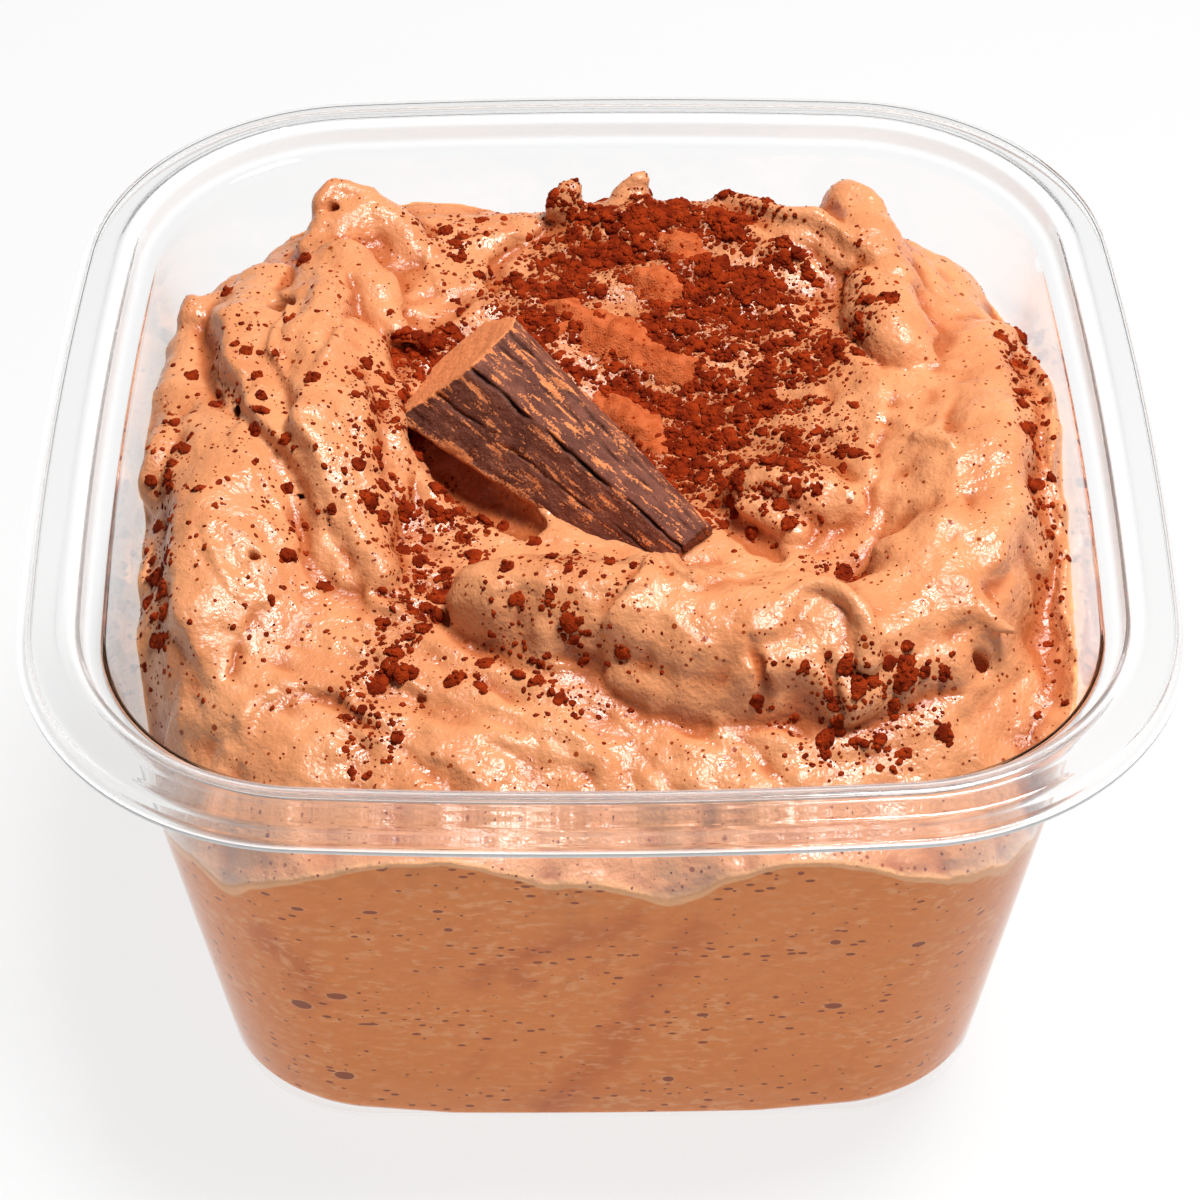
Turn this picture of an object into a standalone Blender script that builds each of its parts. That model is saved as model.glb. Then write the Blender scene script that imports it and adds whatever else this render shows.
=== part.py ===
"""Chocolate mousse in its clear square tub, with one chunk of chocolate resting on top.

The origin is the middle of the tub's underside, +Z is up and -Y is the front.
Lengths below are millimetres, and each mesh is scaled to metres when it is made.
"""
import math

import bmesh
import bpy
import numpy as np
from mathutils import Matrix, Vector

MM = 0.001
CLEARANCE = 0.3          # gap between neighbouring pieces

# --- tub: a thermoformed rounded square with a flanged rim -------------------------------------
RIM_HEIGHT = 67.0        # underside to the top of the rim
SHEET = 0.5              # plastic thickness
BASE_HALF = 41.9         # outside half-width of the wall, run down to the floor
SHOULDER_HALF = 50.8     # outside half-width where the wall meets the shoulder
SHOULDER_HEIGHT = 64.0
LIP_HALF = 52.4          # half-width of the mouth
BEAD_WIDTH = 1.5         # raised line round the mouth
BEAD_RISE = 0.35
RIM_HALF = 57.7          # outer edge of the rim's flat top
SKIRT_DROP = 2.2         # how far the skirt hangs below the rim
SKIRT_FLARE = 0.4        # how far it spreads on the way down
RIM_BEND = 0.6           # size of the bend between the rim and the skirt
LIP_BEND = (0.55, 1.15)  # how far in and down from the mouth the wall's shoulder ends
WALL_RINGS = (22.0, 43.0)    # heights of the wall's rings between floor and shoulder
BEND_STEPS = 3           # segments in the bend between wall and floor
LEAST_BEND = 0.6         # least cosine that the sheet's faces are set apart by at a bend
TRIM_HALF = 59.0         # outer edge of the trimmed flange
BASE_ROUND = 2.2         # radius of the bend between wall and floor
BASE_CORNER = 15.5       # corner radius at the floor
SHOULDER_CORNER = 22.2   # corner radius at the shoulder
BASE_BOW = 1000.0        # radius of the slightly bowed sides at the floor
RIM_BOW = 480.0          # and at the rim
SIDE_STEPS = 2           # segments in half a side
CORNER_STEPS = 5         # segments in half a corner

# --- mousse: a mass filling the tub, with spooned folds on top ----------------------------------
FILL_CELLS = 23          # cells from the middle of the top to its edge
SIDE_ROWS = 2            # rows of cells down the side
FOOT_SHARE = 0.6         # the mass's bottom bevel, as a share of the tub's bend
PLAN_HALF = 48.0         # half-width and corner radius of the outline that the cells are laid out on
PLAN_CORNER = 20.0
PLAN_HEIGHT = 52.0       # height of the wall that the top's fall to its edge is measured from
EDGE_MARGIN = 2.0        # the top is looked for down to this far below its lowest edge
LEVEL_STEP = 0.25        # spacing of the levels at which the top is looked for
SLOPE_SHARE = 0.9        # how much of a height over the top counts as distance from it
LOBE_REACH = 1.15        # how far past its ends a scallop still holds
EDGE_REACH = 13.0        # how far in from the wall the top curves down to it
MIDDLE_LEVEL = 57.0      # height of the top at the middle, before the swells
BACK_SLOPE = 0.065       # how much it climbs towards the back, for each millimetre
LOWEST_EDGE = 37.0       # no part of the edge on the wall is lower

# Scallops of the edge on the wall: from and to in degrees round the tub (0 is right, 90 is back),
# height of the crown, and how far it falls by its ends.
EDGE_LOBES = (
    (-35, 32, 57.2, 4.0),
    (29, 62, 53.0, 3.0),
    (58, 100, 57.5, 3.0),
    (95, 131, 58.0, 4.0),
    (127, 166, 53.5, 4.0),
    (162, 184, 59.0, 5.0),
    (155, 212, 55.0, 14.0),
    (206, 238, 41.0, 2.5),
    (232, 268, 52.0, 8.0),
    (258, 277, 48.0, 4.0),
    (277, 309, 51.2, 10.0),
    (300, 312, 43.2, 3.0),
    (306, 328, 38.5, 2.0),
)

# Broad swells and hollows of the top: x, y, height, reach in x, reach in y.
SWELLS = (
    (34, 4, 4.6, 13, 22),
    (-36, -6, 3.0, 9, 17),
    (-30, 26, 1.6, 12, 14),
    (3, 9, -3.2, 15, 14),
    (22, 40, 1.2, 16, 8),
    (3, 46, 2.4, 9, 7),
    (-6, -24, -1.0, 26, 8),
)

# Rolls and folds: a route of x, y, z, radius through the middle of each.
ROLLS = {
    "front_roll_left": ((-12.5, -16.5, 58.5, 4.0), (-7.5, -18, 59.2, 5.0), (-2, -19.5, 59.5, 5.6),
                        (4, -20.5, 59.2, 5.6)),
    "front_roll_right": ((4, -19.5, 59.2, 5.6), (10, -22, 59.5, 6.4), (16, -23, 59.5, 6.6),
                         (22, -23.5, 60, 6.2)),
    "front_roll_foot": ((4, -25, 56.5, 4.2), (12, -27.5, 56.5, 4.6), (20, -29, 56.8, 4.4),
                        (27, -28.5, 57.5, 4.2), (33, -26, 58.5, 3.8)),
    "roll_hook": ((33.5, -21.5, 60.5, 3.6), (37, -22.5, 61.2, 2.4), (39, -23.5, 61.4, 1.4),
                  (41, -25, 60.8, 0.6)),
    "right_dome_edge": ((44, 22, 57, 5), (44.5, 11, 57, 6), (42, -1, 57.5, 7), (39.5, -10.5, 57.5, 7),
                        (36.5, -19, 57, 6)),
    "back_right_crest": ((17, 42, 60.2, 1.6), (25, 36.5, 60.8, 1.8), (32, 31, 60, 1.8)),
    "right_ridge": ((29.5, 44, 61, 3.0), (31.5, 39, 61, 2.6), (33.5, 28, 60.6, 2.8), (33.5, 22.5, 60, 3.8),
                    (36.5, 19, 59, 3.2)),
    "back_right_peak": ((30, 43, 61.5, 2.4), (30.5, 42.5, 63.4, 1.8)),
    "back_left_peak": ((-28.5, 43, 61, 2.6), (-29, 43.5, 63.4, 1.8), (-26, 42, 62, 1.8),
                       (-24, 40.5, 61, 2.0)),
    "left_fold_outer": ((-38.5, 31, 60, 3.6), (-39.5, 21.5, 60.6, 3.8), (-38, 11.5, 60.5, 3.8),
                        (-35.5, 2.5, 60.2, 3.4), (-31, -3.5, 59.6, 2.4), (-28, -9, 58.5, 1.6)),
    "left_fold_middle": ((-31.5, 34.5, 60.6, 3.8), (-33, 26.5, 61.4, 3.4), (-31, 18, 61.2, 3.2),
                         (-30, 2, 60.6, 4.0), (-27, -5.5, 59.8, 3.6), (-24, -12.5, 58.4, 2.2)),
    "left_fold_inner": ((-29, 34.5, 60.6, 3.4), (-25.5, 29, 61, 2.6), (-21, 22.5, 60, 1.2)),
    "left_fold_last": ((-27.5, 17.5, 60.4, 3.0), (-26.5, 8, 60, 3.0), (-23.5, -4, 59, 1.4)),
    "left_lobe": ((-39, 6.5, 55, 7), (-39, -6.5, 54.8, 8), (-39.5, -17, 52.5, 8)),
    "left_edge_lump": ((-45.5, 8, 58.5, 2.2), (-46, 4, 59, 2.4), (-46, -1.5, 57, 1.4)),
    "left_edge_curl": ((-42.5, 28, 58, 2.6), (-44.5, 27, 60, 1.8)),
    "bowl_left_crest": ((-6, 43.5, 60.2, 1.2), (-10.5, 39, 60.4, 1.4), (-12.5, 32.5, 60.4, 1.4),
                        (-11, 26.5, 60, 1.2)),
    "right_lump": ((17.5, -1, 58.6, 2.6), (24.5, -4.5, 58.8, 2.8)),
}
ROLL_BLEND = 1.6         # width of the soft join between a roll and the mass

# Valleys pressed into the folds, in the same form.
VALLEYS = {
    "left_valley": ((-34.5, 11.5, 62.5, 1.8), (-33.5, 7.5, 61.5, 2.1), (-32, 4.5, 60, 1.6)),
    "left_pocket": ((-35.5, 22, 62, 1.4), (-35.5, 23, 59, 1.4)),
}

# --- chunk: a broken wedge, its thick end up and its tip in the mousse --------------------------
CHUNK_END = (-15.9, 14.0, 61.9)      # middle of the thick end
CHUNK_TIP = (9.0, -9.6, 55.4)        # middle of the tip
CHUNK_ROLL = 28.0                    # turn about its length, in degrees
CHUNK_WIDTH = (17.0, 8.6)            # at the thick end and at the tip
CHUNK_DEPTH = (9.6, 6.4)
CHUNK_SECTION = ((0.50, 0.12), (0.42, 0.37), (0.04, 0.50), (-0.50, 0.02), (-0.44, -0.50), (0.40, -0.50))
CHUNK_STEPS = 4
CHUNK_SKEW = (0.12, 0.85)            # how the thick end slants across the width and the depth
CHUNK_BEVEL = 0.35
BEVEL_FROM = 25.0                    # edges sharper than this, in degrees, are bevelled

TUB_SMOOTH = 35.0                    # shading angles, in degrees
MOUSSE_SMOOTH = 60.0
CHUNK_SMOOTH = 30.0


def corner_radius(height):
    """Corner radius of the wall's middle sheet at a height; it keeps growing with the rim's half-width."""
    share = min(height / SHOULDER_HEIGHT, 1.0)
    return BASE_CORNER + (SHOULDER_CORNER - BASE_CORNER) * share


def side_bow(height):
    """Radius of the bowed sides at a height."""
    share = min(height / RIM_HEIGHT, 1.0)
    return 1.0 / (1.0 / BASE_BOW + (1.0 / RIM_BOW - 1.0 / BASE_BOW) * share)


def wall_half(height):
    """Half-width of the wall's middle sheet at a height."""
    slope = (SHOULDER_HALF - BASE_HALF) / SHOULDER_HEIGHT
    return BASE_HALF + slope * height - SHEET / 2


def corner_centre(half, radius, bow):
    """Distance from the axes to the centre of the corner arc of a bowed rounded square."""
    reach = bow - half
    linear = 2 * reach
    constant = reach ** 2 - (bow - radius) ** 2
    return (-linear + math.sqrt(linear ** 2 - 8 * constant)) / 4


def eighth_points(half, radius, bow, shares):
    """Points of the outline from the middle of the right side (share 0) to the corner (share 1)."""
    centre = corner_centre(half, radius, bow)
    turn = math.atan2(centre, centre - (half - bow))
    side_length = bow * turn
    corner_length = radius * (math.pi / 4 - turn)
    joint = side_length / (side_length + corner_length)
    points = []
    for share in shares:
        if share <= joint:
            angle = turn * share / joint
            points.append((half - bow + bow * math.cos(angle), bow * math.sin(angle)))
        else:
            angle = turn + (math.pi / 4 - turn) * (share - joint) / (1 - joint)
            points.append((centre + radius * math.cos(angle), centre + radius * math.sin(angle)))
    return points


def outline_at(direction, half, radius, bow):
    """Point of the outline for a position (x, y) on the edge of the unit square."""
    x, y = direction
    steep = abs(y) > abs(x)
    share = abs(x) if steep else abs(y)
    px, py = eighth_points(half, radius, bow, [share])[0]
    if steep:
        px, py = py, px
    return math.copysign(px, x), math.copysign(py, y)


def joint_share(half, radius, bow):
    """Share of an eighth of the outline that is side and not corner."""
    centre = corner_centre(half, radius, bow)
    turn = math.atan2(centre, centre - (half - bow))
    side_length = bow * turn
    return side_length / (side_length + radius * (math.pi / 4 - turn))


def ring_points(half, radius, bow):
    """A closed ring of points round the bowed rounded square, anticlockwise from the right."""
    joint = joint_share(half, radius, bow)
    shares = [joint * step / SIDE_STEPS for step in range(SIDE_STEPS)]
    shares += [joint + (1 - joint) * step / CORNER_STEPS for step in range(CORNER_STEPS + 1)]
    eighth = eighth_points(half, radius, bow, shares)
    mirrored = [(y, x) for x, y in reversed(eighth[1:-1])]
    quarter = eighth + mirrored
    ring = []
    for turn in range(4):
        cosine, sine = ((1, 0), (0, 1), (-1, 0), (0, -1))[turn]
        ring += [(x * cosine - y * sine, x * sine + y * cosine) for x, y in quarter]
    return ring


def new_material(name, colour, roughness, transmission=0.0):
    """A Principled material in the piece's own colour."""
    material = bpy.data.materials.new(name)
    material.use_nodes = True
    shader = material.node_tree.nodes["Principled BSDF"]
    shader.inputs["Base Color"].default_value = (*colour, 1.0)
    shader.inputs["Roughness"].default_value = roughness
    shader.inputs["Metallic"].default_value = 0.0
    shader.inputs["Transmission Weight"].default_value = transmission
    return material


def add_object(name, mesh, material, smooth_angle):
    """Link an object for a mesh, scaled from millimetres to metres and shaded smooth."""
    mesh.transform(Matrix.Scale(MM, 4))
    mesh.materials.append(material)
    mesh.shade_smooth()
    mesh.set_sharp_from_angle(angle=math.radians(smooth_angle))
    piece = bpy.data.objects.new(name, mesh)
    bpy.context.collection.objects.link(piece)
    return piece


def mesh_from(name, form):
    """Turn a bmesh into a mesh with its faces pointing outwards."""
    bmesh.ops.recalc_face_normals(form, faces=form.faces)
    mesh = bpy.data.meshes.new(name)
    form.to_mesh(mesh)
    form.free()
    return mesh


def sheet_middle():
    """The tub's section along the middle of its sheet, from the floor out to the trimmed flange."""
    half_sheet = SHEET / 2
    centre_height = half_sheet + BASE_ROUND
    wall_foot = wall_half(centre_height)
    lean = math.atan2(SHOULDER_HALF - BASE_HALF, SHOULDER_HEIGHT)
    points = []
    for step in range(BEND_STEPS + 1):
        angle = -math.pi / 2 + (math.pi / 2 - lean) * step / BEND_STEPS
        across = wall_foot - BASE_ROUND + BASE_ROUND * math.cos(angle)
        points.append((across, centre_height + BASE_ROUND * math.sin(angle)))
    for height in (*WALL_RINGS, SHOULDER_HEIGHT):
        points.append((wall_half(height), height))
    lip = LIP_HALF + half_sheet
    top = RIM_HEIGHT - half_sheet
    points.append((lip - LIP_BEND[0], top - LIP_BEND[1]))
    points.append((lip, top))
    points.append((lip + BEAD_WIDTH / 4, top + BEAD_RISE))
    points.append((lip + BEAD_WIDTH * 3 / 4, top + BEAD_RISE))
    points.append((lip + BEAD_WIDTH, top))
    points.append((RIM_HALF - RIM_BEND, top))
    points.append((RIM_HALF - RIM_BEND / 6, top - RIM_BEND * 3 / 4))
    points.append((RIM_HALF + SKIRT_FLARE * 3 / 8, top - SKIRT_DROP + SKIRT_FLARE / 2))
    points.append((RIM_HALF + SKIRT_FLARE, top - SKIRT_DROP))
    points.append((TRIM_HALF, top - SKIRT_DROP))
    return points


def offset_section(points, distance):
    """The section moved sideways by a distance, to the left of its direction."""
    moved = []
    for index, (across, height) in enumerate(points):
        before = points[max(index - 1, 0)]
        after = points[min(index + 1, len(points) - 1)]
        first = Vector((across - before[0], height - before[1]))
        second = Vector((after[0] - across, after[1] - height))
        first = first.normalized() if first.length else second.normalized()
        second = second.normalized() if second.length else first
        bend = (first + second).normalized()
        stretch = 1.0 / max(bend.dot(second), LEAST_BEND)
        moved.append((across - bend.y * distance * stretch, height + bend.x * distance * stretch))
    return moved


def rim_corner(half, height):
    """Corner radius of a ring of the tub: the wall's own, or the mouth's grown by the flange."""
    if height < SHOULDER_HEIGHT:
        return corner_radius(height) + half - wall_half(height)
    return SHOULDER_CORNER + half - wall_half(SHOULDER_HEIGHT)


def build_tub(material):
    """The tub: one sheet of even thickness, lofted ring by ring inside and out."""
    middle = sheet_middle()
    inside = offset_section(middle, SHEET / 2)
    outside = offset_section(middle, -SHEET / 2)
    section = inside + outside[::-1]
    form = bmesh.new()
    rings = []
    for half, height in section:
        ring = ring_points(half, rim_corner(half, height), side_bow(height) + half - wall_half(height))
        rings.append([form.verts.new((x, y, height)) for x, y in ring])
    for lower, upper in zip(rings, rings[1:]):
        for index, vertex in enumerate(lower):
            following = (index + 1) % len(lower)
            form.faces.new((vertex, lower[following], upper[following], upper[index]))
    form.faces.new(rings[0])
    form.faces.new(rings[-1])
    bmesh.ops.triangulate(form, faces=[face for face in form.faces if len(face.verts) > 4])
    return add_object("tub", mesh_from("tub", form), material, TUB_SMOOTH)


def wall_depth(x, y, height):
    """How far inside the tub's wall points are at a height, in arrays."""
    half = wall_half(height) - SHEET / 2
    radius = corner_radius(height) - SHEET / 2
    bow = side_bow(height)
    centre = corner_centre(half, radius, bow)
    across = np.maximum(np.abs(x), np.abs(y))
    along = np.minimum(np.abs(x), np.abs(y))
    side = bow - np.hypot(across - half + bow, along)
    corner = radius - np.hypot(across - centre, along - centre)
    in_corner = along * (centre - half + bow) > centre * (across - half + bow)
    return np.where(in_corner, corner, side)


def edge_height(x, y):
    """Height of the mousse's edge on the wall, in the direction of each point."""
    turn = np.degrees(np.arctan2(y, x))
    height = np.full(np.shape(x), LOWEST_EDGE)
    for start, end, crown, fall in EDGE_LOBES:
        middle = (start + end) / 2
        away = (turn - middle + 180) % 360 - 180
        share = 2 * away / (end - start)
        lobe = np.where(np.abs(share) < LOBE_REACH, crown - fall * share ** 2, LOWEST_EDGE)
        height = np.maximum(height, lobe)
    return height


def base_height(x, y):
    """Height of the top surface before its rolls and folds."""
    middle = MIDDLE_LEVEL + BACK_SLOPE * y
    for centre_x, centre_y, rise, reach_x, reach_y in SWELLS:
        middle = middle + rise * np.exp(-((x - centre_x) / reach_x) ** 2 - ((y - centre_y) / reach_y) ** 2)
    edge = edge_height(x, y)
    depth = np.clip(wall_depth(x, y, PLAN_HEIGHT), 0.0, EDGE_REACH)
    return middle + (edge - middle) * (1 - depth / EDGE_REACH) ** 2


def route_distance(x, y, z, route):
    """Distance from points to the skin of a roll, negative inside it."""
    nearest = np.full(np.shape(x), 1e3)
    for first, second in zip(route, route[1:]):
        ax, ay, az, a_radius = first
        dx, dy, dz = second[0] - ax, second[1] - ay, second[2] - az
        length = dx * dx + dy * dy + dz * dz
        share = np.clip(((x - ax) * dx + (y - ay) * dy + (z - az) * dz) / length, 0.0, 1.0)
        gap = np.sqrt((x - ax - share * dx) ** 2 + (y - ay - share * dy) ** 2 + (z - az - share * dz) ** 2)
        nearest = np.minimum(nearest, gap - a_radius - share * (second[3] - a_radius))
    return nearest


def soft_union(first, second, width):
    """Join two distance fields, with a soft seam."""
    blend = np.maximum(width - np.abs(first - second), 0.0) / width
    return np.minimum(first, second) - blend ** 2 * width / 4


def mousse_field(x, y, z):
    """Distance field of the mousse's top, negative inside."""
    field = (z - base_height(x, y)) * SLOPE_SHARE
    for route in ROLLS.values():
        field = soft_union(field, route_distance(x, y, z, route), ROLL_BLEND)
    for route in VALLEYS.values():
        field = -soft_union(-field, route_distance(x, y, z, route), ROLL_BLEND)
    return field


def top_heights(x, y):
    """Height of the highest surface of the mousse above each point."""
    levels = np.arange(RIM_HEIGHT, LOWEST_EDGE - EDGE_MARGIN, -LEVEL_STEP)
    shape = (len(x), len(levels))
    field = mousse_field(np.broadcast_to(x[:, None], shape), np.broadcast_to(y[:, None], shape),
                         np.broadcast_to(levels, shape))
    first = np.argmax(field < 0, axis=1)
    rows = np.arange(len(x))
    above = field[rows, first - 1]
    below = field[rows, first]
    return levels[first - 1] + (levels[first] - levels[first - 1]) * above / (above - below)


def fill_outline(direction, height):
    """Point of the mousse's outline at a height, clear of the wall."""
    half = wall_half(height) - SHEET / 2 - CLEARANCE
    radius = corner_radius(height) - SHEET / 2 - CLEARANCE
    return outline_at(direction, half, radius, side_bow(height) - CLEARANCE)


def relaxed(heights, size):
    """The heights of a square grid, each inner one drawn halfway to the mean of its neighbours."""
    grid = heights.reshape(size, size)
    mean = (grid[:-2, 1:-1] + grid[2:, 1:-1] + grid[1:-1, :-2] + grid[1:-1, 2:]) / 4
    calm = grid.copy()
    calm[1:-1, 1:-1] = (grid[1:-1, 1:-1] + mean) / 2
    return calm.ravel()


def build_mousse(material):
    """The mousse: a square grid of cells on top, rows down the side, and a flat underside."""
    count = FILL_CELLS
    floor = SHEET + CLEARANCE
    cells = [(i, j) for j in range(-count, count + 1) for i in range(-count, count + 1)]
    plan = []
    for i, j in cells:
        ring = max(abs(i), abs(j), 1)
        direction = (i / ring, j / ring)
        rough_x, rough_y = outline_at(direction, PLAN_HALF, PLAN_CORNER, RIM_BOW)
        height = float(edge_height(np.array([rough_x]), np.array([rough_y]))[0])
        x, y = fill_outline(direction, height)
        share = max(abs(i), abs(j)) / count
        plan.append((x * share, y * share))
    x, y = np.array(plan).T
    heights = relaxed(top_heights(x, y), 2 * count + 1)
    form = bmesh.new()
    grid = {}
    for cell, px, py, pz in zip(cells, x, y, heights):
        if max(abs(cell[0]), abs(cell[1])) == count:
            direction = (cell[0] / count, cell[1] / count)
            px, py = fill_outline(direction, pz)
        grid[cell] = form.verts.new((px, py, pz))
    for i in range(-count, count):
        for j in range(-count, count):
            form.faces.new((grid[i, j], grid[i + 1, j], grid[i + 1, j + 1], grid[i, j + 1]))
    edge = [(i, -count) for i in range(-count, count)] + [(count, j) for j in range(-count, count)]
    edge += [(-i, count) for i in range(-count, count)] + [(-count, -j) for j in range(-count, count)]
    upper = [grid[cell] for cell in edge]
    foot = BASE_ROUND * FOOT_SHARE
    for row in range(1, SIDE_ROWS + 2):
        lower = []
        for cell in edge:
            top = grid[cell]
            direction = (cell[0] / count, cell[1] / count)
            share = min(row / SIDE_ROWS, 1.0)
            height = top.co.z + (floor + foot - top.co.z) * share
            px, py = fill_outline(direction, height)
            if row > SIDE_ROWS:
                shrink = 1 - foot / BASE_HALF
                px, py, height = px * shrink, py * shrink, floor
            lower.append(form.verts.new((px, py, height)))
        for index, vertex in enumerate(upper):
            following = (index + 1) % len(upper)
            form.faces.new((vertex, lower[index], lower[following], upper[following]))
        upper = lower
    form.faces.new(upper)
    bmesh.ops.triangulate(form, faces=form.faces[:])
    return add_object("mousse", mesh_from("mousse", form), material, MOUSSE_SMOOTH)


def chunk_mesh(name, growth):
    """The chunk's wedge, grown outwards by a distance."""
    end, tip = Vector(CHUNK_END), Vector(CHUNK_TIP)
    along = (tip - end).normalized()
    level = Vector((0, 0, 1)).cross(along).normalized()
    across = Matrix.Rotation(math.radians(CHUNK_ROLL), 3, along) @ level
    up = along.cross(across)
    length = (tip - end).length
    form = bmesh.new()
    rings = []
    for step in range(CHUNK_STEPS + 1):
        share = step / CHUNK_STEPS
        width = CHUNK_WIDTH[0] + (CHUNK_WIDTH[1] - CHUNK_WIDTH[0]) * share + 2 * growth
        depth = CHUNK_DEPTH[0] + (CHUNK_DEPTH[1] - CHUNK_DEPTH[0]) * share + 2 * growth
        slant = 1 - share
        ring = []
        for side, rise in CHUNK_SECTION:
            start = (CHUNK_SKEW[0] * side * width + CHUNK_SKEW[1] * rise * depth) * slant
            reach = share * (length + 2 * growth) - growth + start
            ring.append(form.verts.new(end + along * reach + across * side * width + up * rise * depth))
        rings.append(ring)
    for first, second in zip(rings, rings[1:]):
        for index, vertex in enumerate(first):
            following = (index + 1) % len(first)
            form.faces.new((vertex, first[following], second[following], second[index]))
    form.faces.new(rings[0])
    form.faces.new(rings[-1])
    bmesh.ops.recalc_face_normals(form, faces=form.faces)
    edges = [edge for edge in form.edges if edge.calc_face_angle() > math.radians(BEVEL_FROM)]
    bmesh.ops.bevel(form, geom=edges, offset=CHUNK_BEVEL, segments=1, affect="EDGES")
    bmesh.ops.triangulate(form, faces=form.faces[:])
    return mesh_from(name, form)


def seat_chunk(mousse, material):
    """The chunk, and its seat cut into the mousse."""
    chunk = add_object("chocolate_chunk", chunk_mesh("chocolate_chunk", 0.0), material, CHUNK_SMOOTH)
    cutter = add_object("chunk_seat", chunk_mesh("chunk_seat", CLEARANCE), material, CHUNK_SMOOTH)
    cutter.hide_render = True
    cutter.display_type = "WIRE"
    cut = mousse.modifiers.new("chunk_seat", "BOOLEAN")
    cut.operation = "DIFFERENCE"
    cut.object = cutter
    return chunk


def main():
    """Clear the scene and build the three pieces."""
    for piece in list(bpy.data.objects):
        bpy.data.objects.remove(piece, do_unlink=True)
    build_tub(new_material("clear_plastic", (0.96, 0.97, 0.97), 0.05, transmission=0.9))
    mousse = build_mousse(new_material("mousse", (0.72, 0.36, 0.18), 0.45))
    seat_chunk(mousse, new_material("dark_chocolate", (0.10, 0.035, 0.025), 0.55))


main()
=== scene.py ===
"""Looks of a chocolate mousse in its clear square tub, laid out as a Blender add-on.

Lengths below are millimetres in the frame's axes: the origin is the middle of the tub's underside,
+Z is up and -Y is the front. Each mesh is scaled to metres when it is made.
"""

import math

import bmesh
import bpy
import numpy as np
from bpy.props import FloatProperty, FloatVectorProperty, IntProperty, PointerProperty
from mathutils import Euler, Matrix, Vector, noise


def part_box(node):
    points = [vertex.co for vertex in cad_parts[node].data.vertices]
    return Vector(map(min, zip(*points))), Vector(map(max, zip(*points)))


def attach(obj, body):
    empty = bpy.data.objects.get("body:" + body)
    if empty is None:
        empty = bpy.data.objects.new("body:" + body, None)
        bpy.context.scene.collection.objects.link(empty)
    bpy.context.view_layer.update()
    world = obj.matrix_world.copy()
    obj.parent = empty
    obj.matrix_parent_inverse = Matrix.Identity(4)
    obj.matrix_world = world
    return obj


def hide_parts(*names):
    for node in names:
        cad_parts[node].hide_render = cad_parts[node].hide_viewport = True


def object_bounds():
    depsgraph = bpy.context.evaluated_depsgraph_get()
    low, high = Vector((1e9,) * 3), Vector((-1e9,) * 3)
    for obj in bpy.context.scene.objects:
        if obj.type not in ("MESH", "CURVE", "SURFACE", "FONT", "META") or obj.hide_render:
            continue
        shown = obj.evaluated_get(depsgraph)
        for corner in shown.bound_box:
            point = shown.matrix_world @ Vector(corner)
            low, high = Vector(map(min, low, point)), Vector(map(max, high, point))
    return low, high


bl_info = {
    "name": "Chocolate mousse looks",
    "version": (1, 0, 0),
    "blender": (4, 5, 0),
    "location": "3D View > Sidebar > Mousse",
    "description": "Builds the tub, the mousse, the chunk and the cocoa around the packed frame",
    "category": "Object",
}

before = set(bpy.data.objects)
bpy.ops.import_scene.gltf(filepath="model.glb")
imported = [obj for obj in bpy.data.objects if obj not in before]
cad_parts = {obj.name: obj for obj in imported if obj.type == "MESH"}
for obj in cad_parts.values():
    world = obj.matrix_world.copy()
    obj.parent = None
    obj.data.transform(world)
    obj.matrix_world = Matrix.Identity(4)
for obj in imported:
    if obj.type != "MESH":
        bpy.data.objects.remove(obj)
CAD_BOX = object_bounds()
BODY = "root"
MM = 0.001

# --- tub ---------------------------------------------------------------------------------------
TUB_LOW, TUB_HIGH = (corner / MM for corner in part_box("tub"))
TRIM_HALF = TUB_HIGH.x           # outer edge of the trimmed flange
BEAD_RISE = 0.35                 # the raised line round the mouth
RIM_HEIGHT = TUB_HIGH.z - BEAD_RISE
SHEET = 0.5                      # plastic thickness
BASE_HALF = 41.9                 # outside half-width of the wall, run down to the floor
SHOULDER_HALF = 50.8             # outside half-width where the wall meets the shoulder
SHOULDER_HEIGHT = 64.0
LIP_HALF = 52.4                  # half-width of the mouth
BEAD_WIDTH = 1.5
RIM_HALF = 57.7                  # outer edge of the rim's flat top
SKIRT_DROP = 2.2                 # how far the skirt hangs below the rim
BASE_ROUND = 2.2                 # radius of the bend between wall and floor
BOTTOM_ROUND = 2.9               # radius of the mousse's bottom edge, which doesn't fill the bend
CORNER_GAP = 2.4                 # how much larger that radius is at the corners
CORNER_GAP_START = 58.0          # sum of the distances from the axes at which it begins to grow
CORNER_GAP_REACH = 14.0
BASE_CORNER = 15.5               # corner radius at the floor
SHOULDER_CORNER = 22.2           # corner radius at the shoulder
BASE_BOW = 1000.0                # radius of the slightly bowed sides at the floor
RIM_BOW = 480.0                  # and at the rim
CUT_FROST_AND_HIGHLIGHT = 0.65                 # how pale the sheet is at its trimmed edge: partly the frosted cut, partly a painted highlight
BEND_HIGHLIGHT = 0.16                # and at the bend into the mouth, where it is a painted highlight
SIDE_STEPS = 12                  # segments in half a side
CORNER_STEPS = 14                # segments in half a corner

# --- mousse: the mass --------------------------------------------------------------------------
BITE = 0.18                      # how far the mousse reaches into the plastic, so no air shows
EDGE_REACH = 13.0                # how far in from the wall the top curves down to it
MIDDLE_LEVEL = 57.0              # height of the top at the middle, before the swells
BACK_SLOPE = 0.065               # how much it climbs towards the back, for each millimetre
LOWEST_EDGE = 37.0               # no part of the edge on the wall is lower
VOXEL = 0.42                     # spacing of the grid that the mousse is shaped on
MOST_TRIANGLES = 194000

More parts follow.
